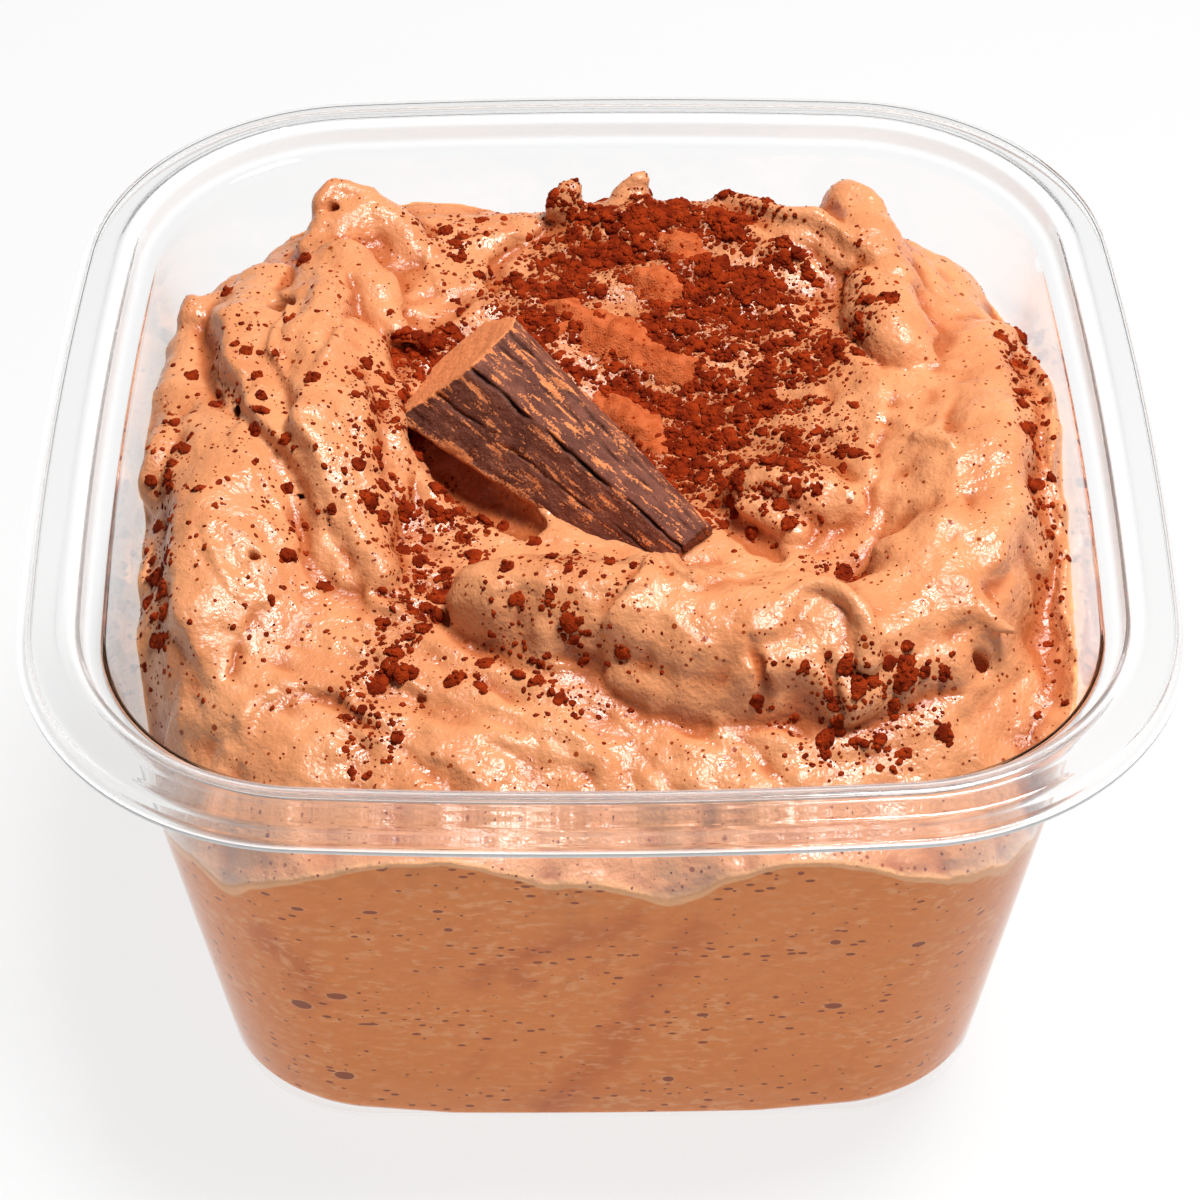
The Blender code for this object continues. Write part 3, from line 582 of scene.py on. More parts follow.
def base_height(x, y):
    """Height of the top surface, before the curls that stand free of it."""
    middle = MIDDLE_LEVEL + BACK_SLOPE * y
    for centre_x, centre_y, rise, reach_x, reach_y in SWELLS:
        middle = middle + rise * np.exp(-((x - centre_x) / reach_x) ** 2 - ((y - centre_y) / reach_y) ** 2)
    room = wall_room(x, y, 52.0)
    depth = np.clip(room, 0.0, EDGE_REACH)
    edge = edge_height(x, y, depth)
    height = middle + (edge - middle) * (1 - depth / EDGE_REACH) ** 2 + ripples(x, y)
    inner = np.clip(depth / 5.0, 0.0, 1.0)
    for seam, route in RIDGES:
        height = -soft_union(-height, -ridge_height(x, y, route), seam)
    height = height + laps(x, y) * inner + film_rise(x, y, room)
    for cell, rise, seed in BUMPS:
        height = height + rise * grain(x, y, 0.0, cell, seed) * inner
    for rise, fade, route in LIPS:
        height = height + lip_rise(x, y, rise, fade, route)
    return height


def near_route(axes, route, margin):
    """Slices of the grid's axes that hold a route and what it can change."""
    reach = route[:, 3].max() + margin
    slices = []
    for axis, values in enumerate(axes):
        low = np.searchsorted(values, route[:, axis].min() - reach)
        high = np.searchsorted(values, route[:, axis].max() + reach)
        slices.append(slice(max(low - 1, 0), high + 1))
    return tuple(slices)


def route_distance(x, y, z, route):
    """Distance from points to the skin of a roll, negative inside it."""
    nearest = np.full(np.broadcast(x, y, z).shape, 1e3)
    for (ax, ay, az, a_radius), (bx, by, bz, b_radius) in zip(route, route[1:]):
        dx, dy, dz = bx - ax, by - ay, bz - az
        length = dx * dx + dy * dy + dz * dz
        share = np.clip(((x - ax) * dx + (y - ay) * dy + (z - az) * dz) / length, 0.0, 1.0)
        gap = np.sqrt((x - ax - share * dx) ** 2 + (y - ay - share * dy) ** 2 + (z - az - share * dz) ** 2)
        nearest = np.minimum(nearest, gap - a_radius - share * (b_radius - a_radius))
    return nearest


def mousse_field(axes):
    """Distance field of the mousse on a grid, negative inside."""
    x, y = np.meshgrid(axes[0], axes[1], indexing="ij")
    plan_x, plan_y = x, y
    for cell, shift, seed in WARPS:
        plan_x = plan_x + shift * grain(x, y, 0.0, cell, seed)
        plan_y = plan_y + shift * grain(x, y, 50.0, cell, seed)
    height = base_height(plan_x, plan_y)
    spacing = axes[0][1] - axes[0][0]
    slope_x, slope_y = np.gradient(height, spacing)
    lean = np.maximum(1 / np.sqrt(1 + slope_x ** 2 + slope_y ** 2), LEAST_LEAN)
    z = axes[2][None, None, :]
    field = (z - height[:, :, None]) * lean[:, :, None]
    for shapes, sign in ((FOLDS, 1), (HOLLOWS, -1)):
        for seam, route in shapes:
            fine = smooth_route(route)
            box = near_route(axes, fine, seam + 1.5)
            part_x = plan_x[box[0], box[1]][:, :, None]
            part_y = plan_y[box[0], box[1]][:, :, None]
            roll = route_distance(part_x, part_y, axes[2][box[2]][None, None, :], fine)
            field[box] = sign * soft_union(sign * field[box], roll, seam)
    top = field.copy()
    wall = -wall_room(x[:, :, None], y[:, :, None], z) - BITE
    floor = SHEET - BITE - z
    in_corner = np.clip((np.abs(x) + np.abs(y) - CORNER_GAP_START) / CORNER_GAP_REACH, 0, 1)[:, :, None]
    shell = round_intersection(wall, floor, BOTTOM_ROUND + CORNER_GAP * in_corner)
    return np.maximum(field, shell), top


def spread_out(field, reach):
    """A field with each value the mean of those within a reach, counted in cells, along every axis."""
    for axis in range(3):
        margins = [(reach + 1, reach) if other == axis else (0, 0) for other in range(3)]
        sums = np.cumsum(np.pad(field, margins, mode="edge"), axis=axis)
        size = field.shape[axis]
        ahead = np.take(sums, np.arange(2 * reach + 1, 2 * reach + 1 + size), axis=axis)
        field = (ahead - np.take(sums, np.arange(size), axis=axis)) / (2 * reach + 1)
    return field


def sampled(field, axes, points):
    """Values of a field at points, between those of the grid."""
    spacing = axes[0][1] - axes[0][0]
    places = [np.clip((points[:, axis] - axes[axis][0]) / spacing, 0, len(axes[axis]) - 1.001) for axis in range(3)]
    cells = [place.astype(int) for place in places]
    shares = [place - cell for place, cell in zip(places, cells)]
    total = 0.0
    for corner in np.ndindex(2, 2, 2):
        weight = 1.0
        for share, side in zip(shares, corner):
            weight = weight * (share if side else 1 - share)
        total = total + weight * field[tuple(cell + side for cell, side in zip(cells, corner))]
    return total


def surface_of(field, axes):
    """Skin of a distance field as points and four-sided faces, one point in each cell that it crosses."""
    inside = field < 0
    counts = [size - 1 for size in field.shape]
    cells, places, faces = [], [], []
    for axis in range(3):
        low = tuple(slice(0, -1) if other == axis else slice(None) for other in range(3))
        high = tuple(slice(1, None) if other == axis else slice(None) for other in range(3))
        crossing = np.nonzero(inside[low] != inside[high])
        first, second = field[low][crossing], field[high][crossing]
        point = [axes[other][crossing[other]] for other in range(3)]
        point[axis] = point[axis] + (axes[axis][crossing[axis] + 1] - point[axis]) * first / (first - second)
        point = np.stack(point, axis=1)
        corners = []
        one, two = (axis + 1) % 3, (axis + 2) % 3
        for step_one, step_two in ((1, 1), (0, 1), (0, 0), (1, 0)):
            index = list(crossing)
            index[one] = index[one] - step_one
            index[two] = index[two] - step_two
            corners.append(np.ravel_multi_index(index, counts))
        around = np.stack(corners, axis=1)
        leaving = inside[low][crossing]
        around[~leaving] = around[~leaving][:, ::-1]
        faces.append(around)
        cells.extend(corners)
        places.extend([point] * 4)
    cells = np.concatenate(cells)
    places = np.concatenate(places)
    used, index = np.unique(cells, return_inverse=True)
    amount = np.bincount(index)
    points = np.stack([np.bincount(index, places[:, axis]) / amount for axis in range(3)], axis=1)
    return points, np.searchsorted(used, np.concatenate(faces))


def add_piece(name, points, faces, material, smooth_angle=None):
    """Link an object for points in millimetres and their faces, with a material."""
    mesh = bpy.data.meshes.new(name)
    mesh.from_pydata((np.asarray(points) * MM).tolist(), [], np.asarray(faces).tolist())
    mesh.materials.append(material)
    mesh.shade_smooth()
    if smooth_angle is not None:
        mesh.set_sharp_from_angle(angle=math.radians(smooth_angle))
    piece = bpy.data.objects.new(name, mesh)
    bpy.context.scene.collection.objects.link(piece)
    return piece


def points_of(mesh):
    """A mesh's points in millimetres, as an array."""
    values = np.zeros(len(mesh.vertices) * 3)
    mesh.vertices.foreach_get("co", values)
    return values.reshape(-1, 3) / MM


def normals_of(mesh):
    """The direction that each point of a mesh faces."""
    values = np.zeros(len(mesh.vertices) * 3)
    mesh.vertices.foreach_get("normal", values)
    return values.reshape(-1, 3)


def move_points(mesh, points):
    """Set a mesh's points, given in millimetres."""
    mesh.vertices.foreach_set("co", (points * MM).ravel())
    mesh.update()


def paint(mesh, name, values):
    """Store one value for each point of a mesh, for its material or for strewing."""
    layer = mesh.attributes.new(name, "FLOAT", "POINT")
    layer.data.foreach_set("value", np.asarray(values, float))


def settled(piece):
    """Turn a piece's modifiers into plain mesh, and drop them."""
    graph = bpy.context.evaluated_depsgraph_get()
    made = bpy.data.meshes.new_from_object(piece.evaluated_get(graph))
    piece.modifiers.clear()
    old = piece.data
    piece.data = made
    bpy.data.meshes.remove(old)
    made.name = piece.name
    return piece


def thinned(piece, most):
    """Bring a piece down to a number of triangles, taking most where it is smooth."""
    amount = sum(len(face.vertices) - 2 for face in piece.data.polygons)
    if amount > most:
        modifier = piece.modifiers.new("thin", "DECIMATE")
        modifier.ratio = most / amount
        settled(piece)
    return piece


def relieved(mesh):
    """Give the mousse's open skin its fine relief, and leave it smooth along the wall."""
    points = points_of(mesh)
    room = wall_room(points[:, 0], points[:, 1], points[:, 2])
    open_skin = np.clip((room - RELIEF_MARGIN) / RELIEF_MARGIN, 0.0, 1.0) * (points[:, 2] > LOWEST_EDGE - 2)
    rise = 0.0
    for cell, height, seed in RELIEF:
        rise = rise + height * grain(points[:, 0], points[:, 1], points[:, 2], cell, seed)
    move_points(mesh, points + normals_of(mesh) * (rise * open_skin)[:, None])


def build_mousse(voxel, material):
    """The mousse: one mass that fills the tub up to its folded top."""
    reach = SHOULDER_HALF + 1.0
    plan = np.arange(-reach, reach + voxel, voxel)
    axes = (plan, plan, np.arange(-voxel, RIM_HEIGHT + 1.0, voxel))
    field, top = mousse_field(axes)
    points, faces = surface_of(field, axes)
    mousse = add_piece("mousse_mass", points, faces, material)
    relieved(mousse.data)
    thinned(mousse, MOST_TRIANGLES)
    points = points_of(mousse.data)
    # Painted shade: mark the creases, where the skin lies below its smoothed surroundings, for the darker crease
    # colour.
    near = np.clip(top, -CREASE_SPAN, CREASE_SPAN)
    mean = spread_out(spread_out(near, round(CREASE_SPAN / 2 / voxel)), round(CREASE_SPAN / 2 / voxel))
    sunk = sampled(near - mean, axes, points)
    paint(mousse.data, "crease", np.clip((sunk - CREASE_START) / CREASE_DEPTH, 0, 1))
    paint(mousse.data, "depth", -sampled(top, axes, points))
    return mousse


def eighth_points(half, radius, bow):
    """Points of an outline from the middle of the right side to the corner."""
    centre = corner_centre(half, radius, bow)
    turn = math.atan2(centre, centre - (half - bow))
    side = np.linspace(0.0, turn, SIDE_STEPS, endpoint=False)
    corner = np.linspace(turn, math.pi / 4, CORNER_STEPS + 1)
    x = np.concatenate([half - bow + bow * np.cos(side), centre + radius * np.cos(corner)])
    y = np.concatenate([bow * np.sin(side), centre + radius * np.sin(corner)])
    return np.stack([x, y], axis=1)


def ring_points(half, radius, bow):
    """A closed ring of points round the bowed rounded square, anticlockwise from the right."""
    eighth = eighth_points(half, radius, bow)
    quarter = np.vstack([eighth, eighth[-2:0:-1, ::-1]])
    turns = [quarter @ np.array([[math.cos(a), math.sin(a)], [-math.sin(a), math.cos(a)]])
             for a in (0, math.pi / 2, math.pi, 3 * math.pi / 2)]
    return np.vstack(turns)


def arc(centre, radius, start, end, steps):
    """Points of an arc in the tub's section; the angles are in degrees."""
    angles = np.radians(np.linspace(start, end, steps + 1))
    return [(centre[0] + radius * math.cos(angle), centre[1] + radius * math.sin(angle)) for angle in angles]


def sheet_middle():
    """The tub's section along the middle of its sheet, from the floor out to the trimmed flange."""
    half_sheet = SHEET / 2
    centre_height = half_sheet + BASE_ROUND
    lean = math.degrees(math.atan2(SHOULDER_HALF - BASE_HALF, SHOULDER_HEIGHT))
    points = arc((wall_half(centre_height) - BASE_ROUND, centre_height), BASE_ROUND, -90, -lean, BEND_STEPS)
    points += [(wall_half(height), height) for height in np.linspace(10.0, SHOULDER_HEIGHT - 0.6, 9)]
    shoulder = wall_half(SHOULDER_HEIGHT)
    lip = LIP_HALF + half_sheet
    top = RIM_HEIGHT - half_sheet
    points += arc((shoulder + 0.9, SHOULDER_HEIGHT - 0.5), 0.9, 170, 100, BEND_STEPS)
    points += arc((lip - 1.0, SHOULDER_HEIGHT + 1.3), 0.9, -70, -8, BEND_STEPS)
    points += arc((lip + 0.75, top - 0.6), 0.6, 172, 95, BEND_STEPS)
    bead = lip + 0.8
    points += [(bead + BEAD_WIDTH * share, top + BEAD_RISE * math.sin(math.pi * share)) for share in np.linspace(0.1, 1, 8)]
    points += [(across, top) for across in np.linspace(bead + BEAD_WIDTH + 0.4, RIM_HALF - 1.0, 4)]
    points += arc((RIM_HALF - 0.75, top - 0.8), 0.8, 80, 8, BEND_STEPS)
    points += arc((RIM_HALF + 0.75, top - SKIRT_DROP + 0.6), 0.6, 188, 262, BEND_STEPS)
    points.append((TRIM_HALF - 0.1, top - SKIRT_DROP))
    return np.array(points)


def offset_section(points, distance):
    """The section moved sideways by a distance, to the left of its direction."""
    steps = np.diff(points, axis=0)
    steps = steps / np.hypot(*steps.T)[:, None]
    before = np.vstack([steps[:1], steps])
    after = np.vstack([steps, steps[-1:]])
    bend = before + after
    bend = bend / np.hypot(*bend.T)[:, None]
    stretch = 1.0 / np.maximum((bend * after).sum(1), 0.6)
    return points + np.stack([-bend[:, 1], bend[:, 0]], axis=1) * distance * stretch[:, None]


def build_tub(material):
    """The tub: one sheet of even thickness, lofted ring by ring inside and out."""
    middle = sheet_middle()
    section = np.vstack([offset_section(middle, SHEET / 2), offset_section(middle, -SHEET / 2)[::-1]])
    rings = []
    for half, height in section:
        grown = half - wall_half(min(height, SHOULDER_HEIGHT))
        ring = ring_points(half, corner_radius(height) + grown, side_bow(height) + half - wall_half(height))
        rings.append(np.column_stack([ring, np.full(len(ring), height)]))
    count = len(rings[0])
    index = np.arange(count)
    following = (index + 1) % count
    faces = []
    for step in range(len(rings) - 1):
        low, high = step * count, (step + 1) * count
        faces += np.stack([low + index, low + following, high + following, high + index], axis=1).tolist()
    points = np.vstack(rings)
    inner, outer = len(points), len(points) + 1
    points = np.vstack([points, [0, 0, SHEET], [0, 0, 0]])
    last = (len(rings) - 1) * count
    faces += [(inner, b, a) for a, b in zip(index, following)]
    faces += [(outer, a, b) for a, b in zip(last + index, last + following)]
    form = bmesh.new()
    vertices = [form.verts.new(point) for point in points.tolist()]
    for face in faces:
        form.faces.new([vertices[corner] for corner in face])
    bmesh.ops.recalc_face_normals(form, faces=form.faces)
    tub = bpy.data.objects.new("clear_tub", bpy.data.meshes.new("clear_tub"))
    form.to_mesh(tub.data)
    form.free()
    move_points(tub.data, points)
    half = np.repeat(section[:, 0], count)
    # Painted highlights: the sheet is made less clear at the trimmed edge and at the bend into the mouth, so these show
    # pale.
    frost = np.zeros(len(points))
    frost[:len(half)] = np.where(half > TRIM_HALF - 0.4, CUT_FROST_AND_HIGHLIGHT, 0.0)
    frost[:len(half)] += BEND_HIGHLIGHT * np.clip(1.5 - np.abs(half - LIP_HALF - 0.6), 0, 1)
    paint(tub.data, "frost", frost)
    tub.data.materials.append(material)
    tub.data.shade_smooth()
    tub.data.set_sharp_from_angle(angle=math.radians(50))
    bpy.context.scene.collection.objects.link(tub)
    return tub


def chunk_axes():
    """The chunk's thick end, its length, and its directions along, across and up."""
    end, tip = Vector(CHUNK_END), Vector(CHUNK_TIP)
    along = (tip - end).normalized()
    level = Vector((0, 0, 1)).cross(along).normalized()
    across = Matrix.Rotation(math.radians(CHUNK_ROLL), 3, along) @ level
    return end, (tip - end).length, np.array([along, across, along.cross(across)])


def chunk_field(axes, length):
    """Distance field of the broken wedge, in its own directions, negative inside."""
    along, across, up = np.meshgrid(*axes, indexing="ij", sparse=True)
    share = np.clip(along / length, 0.0, 1.0)
    width = CHUNK_WIDTH[0] + (CHUNK_WIDTH[1] - CHUNK_WIDTH[0]) * share
    depth = CHUNK_DEPTH[0] + (CHUNK_DEPTH[1] - CHUNK_DEPTH[0]) * share
    slant = CHUNK_SKEW[0] * across + CHUNK_SKEW[1] * up
    field = (slant * (1 - share) - along) / math.hypot(1.0, *CHUNK_SKEW)
    field = np.maximum(field, along - length)
    for first, second in zip(CHUNK_SECTION, CHUNK_SECTION[1:] + CHUNK_SECTION[:1]):
        edge_x, edge_y = (second[0] - first[0]) * width, (second[1] - first[1]) * depth
        reach = np.hypot(edge_x, edge_y)
        gap = ((across - first[0] * width) * edge_y - (up - first[1] * depth) * edge_x) / reach
        field = -soft_union(-field, -gap, CHUNK_EDGE)
    return field


def build_chunk(material):
    """The chunk of dark chocolate: a broken wedge with a grain along its length."""
    end, length, directions = chunk_axes()
    wide, deep = CHUNK_WIDTH[0] / 2 + 1, CHUNK_DEPTH[0] / 2 + 1
    axes = (np.arange(-deep - 1, length + 1, CHUNK_VOXEL), np.arange(-wide, wide, CHUNK_VOXEL),
            np.arange(-deep, deep, CHUNK_VOXEL))
    points, faces = surface_of(chunk_field(axes, length), axes)
    along, across, up = points.T
    chips = sum(height * grain(along, across, up, cell, seed) for cell, height, seed in CHUNK_CHIPS)
    stripes = CHUNK_STRIPES * grain(along / CHUNK_STRIPE_LENGTH, across, up, CHUNK_STRIPE_SPACING, 5)
    chunk = add_piece("chunk_of_chocolate", np.array(end) + points @ directions, faces, material)
    normals = normals_of(chunk.data)
    on_end = np.clip(-(normals @ directions[0]) * 2, 0, 1)
    share = np.clip(along / length, 0, 1)
    place = across / (CHUNK_WIDTH[0] + (CHUNK_WIDTH[1] - CHUNK_WIDTH[0]) * share)
    place = place + CRACK_WOBBLE * grain(along, 0.0, 0.0, 5.0, 93) + CRACK_WOBBLE / 3 * grain(along, 0.0, 0.0, 1.2, 95)
    cracks = np.zeros(len(along))
    for number, (middle, wide, deep) in enumerate(CHUNK_CRACKS):
        open_here = np.clip(0.7 + 1.6 * grain(along, 4.0 * number, 0.0, 4.0, 97), 0, 1)
        cracks = np.maximum(cracks, deep * open_here * np.exp(-((place - middle) / wide) ** 2))
    rise = chips + (stripes - cracks * (up > 0)) * (1 - on_end)
    move_points(chunk.data, points_of(chunk.data) + normals * rise[:, None])
    edges = np.clip(chips * 2.5 + stripes * 3, -0.4, 0.6)
    patches = grain(along / 2, across, up, 1.8, 9)
    lines = np.maximum(grain(along / 7, across, up, 0.45, 15), 0)
    low_edge = np.clip((CHUNK_DUSTY_EDGE - place) / CRACK_WOBBLE, 0, 1)
    dust = 0.05 + 0.16 * patches + 0.14 * edges + 0.45 * lines + 0.25 * low_edge + 0.9 * on_end
    for name, value in zip(("grain_x", "grain_y", "grain_z"), (along, across, up)):
        paint(chunk.data, name, value)
    paint(chunk.data, "dust", np.clip(dust, 0, 1))
    # Painted shade: the open cracks on the upper faces are marked for a near-black colour.
    paint(chunk.data, "crack", np.clip(cracks * 2, 0, 1) * (up > 0) * (1 - on_end))
    return thinned(chunk, MOST_CHUNK_TRIANGLES)


def cocoa_cover(x, y):
    """How thickly cocoa lies over each point of the plan, from 0 to 1."""
    cover = np.zeros(np.shape(x))
    for centre_x, centre_y, reach_x, reach_y, turn, share in COCOA_PATCHES:
        angle = math.radians(turn)
        along = (x - centre_x) * math.cos(angle) + (y - centre_y) * math.sin(angle)
        across = (y - centre_y) * math.cos(angle) - (x - centre_x) * math.sin(angle)
        cover = np.maximum(cover, share * np.exp(-(along / reach_x) ** 4 - (across / reach_y) ** 4))
    return cover


def painted_cocoa_and_shadow(mousse):
    """Store on the mousse how thickly cocoa lies on it, where it has stained the skin, and where the hollow under the
    chunk is painted dark as its shadow.
    """
    points = points_of(mousse.data)
    x, y = points[:, 0], points[:, 1]
    cover = cocoa_cover(x, y)
    turn = math.radians(STREAK_TURN)
    along, across = x * math.cos(turn) + y * math.sin(turn), y * math.cos(turn) - x * math.sin(turn)
    streaks = 0.62 + 1.1 * grain(along / STREAK_LENGTH, across, 0.0, STREAK_SPACING, 71)
    up = np.clip(normals_of(mousse.data)[:, 2] * 2, 0, 1)
    top = up * (points[:, 2] > LOWEST_EDGE + 4)
    room = wall_room(x, y, points[:, 2])
    paint(mousse.data, "wet", np.clip(1 - (room - 0.05) / 0.4, 0, 1))
    paint(mousse.data, "cocoa", np.clip(cover * streaks, 0, 1) * top)
    dusting = (DUST_EVERYWHERE + np.clip(cover * (0.4 + 0.6 * streaks), 0, 1)) * top
    paint(mousse.data, "dusting", dusting)
    # Painted shadow: the hollow under the chunk is darkened with the stain colour.
    under = route_distance(x, y, points[:, 2], smooth_route(UNDER_CHUNK))
    paint(mousse.data, "stain", np.maximum(dusting, HOLLOW_SHADOW * np.clip(1 - under / HOLLOW_FADE, 0, 1)))


def add_node(tree, kind, sockets=None, **settings):
    """Add a node to a tree; each socket named is given a value or linked from another node."""
    node = tree.nodes.new(kind)
    for key, value in settings.items():
        setattr(node, key, value)
    for key, value in (sockets or {}).items():
        if isinstance(value, bpy.types.NodeSocket):
            tree.links.new(value, node.inputs[key])
        else:
            node.inputs[key].default_value = value
    return node


def maths(tree, operation, first, second=0.0, third=0.0):
    """The output of a Math node."""
    node = add_node(tree, "ShaderNodeMath", {0: first, 1: second, 2: third}, operation=operation)
    return node.outputs[0]


def strewing_tree(name, detail, material):
    """Geometry Nodes that strew lumps over a surface by one of its attributes."""
    tree = bpy.data.node_groups.new(name, "GeometryNodeTree")
    face = tree.interface
    face.new_socket("Geometry", in_out="INPUT", socket_type="NodeSocketGeometry")
    for label in ("Density", "Smallest", "Largest", "Evenness", "Flatness", "Lumpiness", "Sink"):
        face.new_socket(label, in_out="INPUT", socket_type="NodeSocketFloat")
    face.new_socket("Seed", in_out="INPUT", socket_type="NodeSocketInt")
    face.new_socket("Cover", in_out="INPUT", socket_type="NodeSocketString")
    face.new_socket("Geometry", in_out="OUTPUT", socket_type="NodeSocketGeometry")
    given = add_node(tree, "NodeGroupInput").outputs
    cover = add_node(tree, "GeometryNodeInputNamedAttribute", {"Name": given["Cover"]}, data_type="FLOAT")
    density = maths(tree, "MULTIPLY", given["Density"], cover.outputs["Attribute"])
    spread = add_node(tree, "GeometryNodeDistributePointsOnFaces",
                      {"Mesh": given["Geometry"], "Density": density, "Seed": given["Seed"]})
    chance = add_node(tree, "FunctionNodeRandomValue", {"Seed": given["Seed"]}, data_type="FLOAT")
    skewed = maths(tree, "POWER", chance.outputs[1], given["Evenness"])
    extra = maths(tree, "SUBTRACT", given["Largest"], given["Smallest"])
    size = maths(tree, "MULTIPLY_ADD", skewed, extra, given["Smallest"])
    sized = add_node(tree, "GeometryNodeStoreNamedAttribute",
                     {"Geometry": spread.outputs["Points"], "Name": "size", "Value": size},
                     data_type="FLOAT", domain="POINT")
    depth = maths(tree, "MULTIPLY", size, maths(tree, "MULTIPLY", given["Sink"], -1.0))
    down = add_node(tree, "ShaderNodeVectorMath", {0: spread.outputs["Normal"], "Scale": depth}, operation="SCALE")
    sunk = add_node(tree, "GeometryNodeSetPosition", {"Geometry": sized.outputs["Geometry"], "Offset": down.outputs[0]})
    whirl = add_node(tree, "FunctionNodeRandomValue",
                     {"Min": (-0.3, -0.3, 0.0), "Max": (0.3, 0.3, 2 * math.pi), "Seed": given["Seed"]},
                     data_type="FLOAT_VECTOR")
    turned = add_node(tree, "FunctionNodeRotateRotation",
                      {"Rotation": spread.outputs["Rotation"], "Rotate By": whirl.outputs[0]}, rotation_space="LOCAL")
    longer = add_node(tree, "FunctionNodeRandomValue",
                      {2: 0.9, 3: 1.5, "Seed": maths(tree, "ADD", given["Seed"], 1.0)}, data_type="FLOAT")
    scale = add_node(tree, "ShaderNodeCombineXYZ", {"X": maths(tree, "MULTIPLY", size, longer.outputs[1]), "Y": size,
                                                    "Z": maths(tree, "MULTIPLY", size, given["Flatness"])})
    lump = add_node(tree, "GeometryNodeMeshIcoSphere", {"Radius": 1.0, "Subdivisions": detail})
    placed = add_node(tree, "GeometryNodeInstanceOnPoints",
                      {"Points": sunk.outputs["Geometry"], "Instance": lump.outputs["Mesh"],
                       "Rotation": turned.outputs[0], "Scale": scale.outputs[0]})
    real = add_node(tree, "GeometryNodeRealizeInstances", {"Geometry": placed.outputs["Instances"]})
    pitted = add_node(tree, "ShaderNodeTexNoise", {"Scale": 1.5 / MM, "Detail": 1.0}, noise_dimensions="3D")
    centred = add_node(tree, "ShaderNodeVectorMath", {0: pitted.outputs["Color"], 1: (0.5, 0.5, 0.5)},
                       operation="SUBTRACT")
    own_size = add_node(tree, "GeometryNodeInputNamedAttribute", {"Name": "size"}, data_type="FLOAT")
    strength = maths(tree, "MULTIPLY", own_size.outputs["Attribute"], given["Lumpiness"])
    push = add_node(tree, "ShaderNodeVectorMath", {0: centred.outputs[0], "Scale": strength}, operation="SCALE")
    lumpy = add_node(tree, "GeometryNodeSetPosition", {"Geometry": real.outputs["Geometry"], "Offset": push.outputs[0]})
    finish = add_node(tree, "GeometryNodeSetMaterial", {"Geometry": lumpy.outputs["Geometry"], "Material": material})
    add_node(tree, "NodeGroupOutput", {0: finish.outputs["Geometry"]})
    return tree


def strewn(name, surface, detail, material, settings):
    """A piece of many lumps strewn over a surface, as plain mesh."""
    tree = strewing_tree(name, detail, material)
    piece = bpy.data.objects.new(name, surface.data.copy())
    bpy.context.scene.collection.objects.link(piece)
    modifier = piece.modifiers.new("strew", "NODES")
    modifier.node_group = tree
    for item in tree.interface.items_tree:
        if item.in_out == "INPUT" and item.name in settings:
            modifier[item.identifier] = settings[item.name]
    settled(piece)
    if not piece.data.polygons:
        raise RuntimeError(f"nothing was strewn for {name}")
    piece.data.shade_smooth()
    return piece


def heap_depth(x, y):
    """How deep the smooth powder lies over the plan; below zero there is none."""
    depth = np.full(np.shape(x), -HEAP_FLOOR)
    for centre_x, centre_y, reach_x, reach_y, turn, rise in COCOA_HEAPS:
        angle = math.radians(turn)
        along = (x - centre_x) * math.cos(angle) + (y - centre_y) * math.sin(angle)
        across = (y - centre_y) * math.cos(angle) - (x - centre_x) * math.sin(angle)
        depth = depth + (rise + HEAP_FLOOR) * np.exp(-(along / reach_x) ** 2 - (across / reach_y) ** 2)
    for cell, height, seed in HEAP_BUMPS:
        depth = depth + height * grain(x, y, 0.0, cell, seed)
    return depth


def build_heaps(mousse, material):
    """The smooth heaps of cocoa powder, resting on the mousse."""
    spots = np.array([heap[:2] for heap in COCOA_HEAPS])
    low, high = spots.min(0) - HEAP_MARGIN, spots.max(0) + HEAP_MARGIN
    plan = [np.arange(low[axis], high[axis], HEAP_VOXEL) for axis in range(2)]
    x, y = np.meshgrid(*plan, indexing="ij")
    ground = np.array([height_on(mousse, *spot) for spot in zip(x.ravel(), y.ravel())]).reshape(x.shape)
    depth = heap_depth(x, y)
    axes = (*plan, np.arange(ground.min() - 1, ground.max() + 2, HEAP_VOXEL))
    over = axes[2] - ground[:, :, None]
    field = np.maximum(over - depth[:, :, None], -over - HEAP_SINK)
    edge = np.ones(x.shape, bool)
    edge[1:-1, 1:-1] = False
    field[edge] = 1.0
    return add_piece("cocoa_heaps", *surface_of(field, axes), material)


def height_on(piece, x, y):
    """Height of a piece's highest surface above a point of the plan, in millimetres."""
    hit, place, _, _ = piece.ray_cast(Vector((x, y, 2 * RIM_HEIGHT)) * MM, Vector((0, 0, -1)))
    if not hit:
        raise RuntimeError(f"{piece.name} has nothing above ({x}, {y})")
    return place.z / MM


def new_material(name):
    """An empty material's tree, its Principled shader and its Object coordinates."""
    material = bpy.data.materials.new(name)
    material.use_nodes = True
    tree = material.node_tree
    shader = tree.nodes["Principled BSDF"]
    place = add_node(tree, "ShaderNodeTexCoord").outputs["Object"]
    return material, tree, shader, place


def noise_at(tree, place, size, detail=2.0, roughness=0.5):
    """Noise whose lumps are about a size, in millimetres."""
    return add_node(tree, "ShaderNodeTexNoise", {"Vector": place, "Scale": 1 / (size * MM), "Detail": detail,
                                                 "Roughness": roughness}).outputs["Fac"]


def ranged(tree, value, low, high, to_low=0.0, to_high=1.0):
    """A value brought smoothly from one range to another."""
    return add_node(tree, "ShaderNodeMapRange", {"Value": value, "From Min": low, "From Max": high, "To Min": to_low,
                                                 "To Max": to_high}, interpolation_type="SMOOTHSTEP").outputs[0]


def mixed(tree, share, first, second):
    """Two colours mixed by a share."""
    node = add_node(tree, "ShaderNodeMix", {0: share, 6: first, 7: second}, data_type="RGBA")
    return node.outputs[2]


def attribute(tree, name):
    """One of the piece's own values."""
    return add_node(tree, "ShaderNodeAttribute", attribute_name=name).outputs["Fac"]


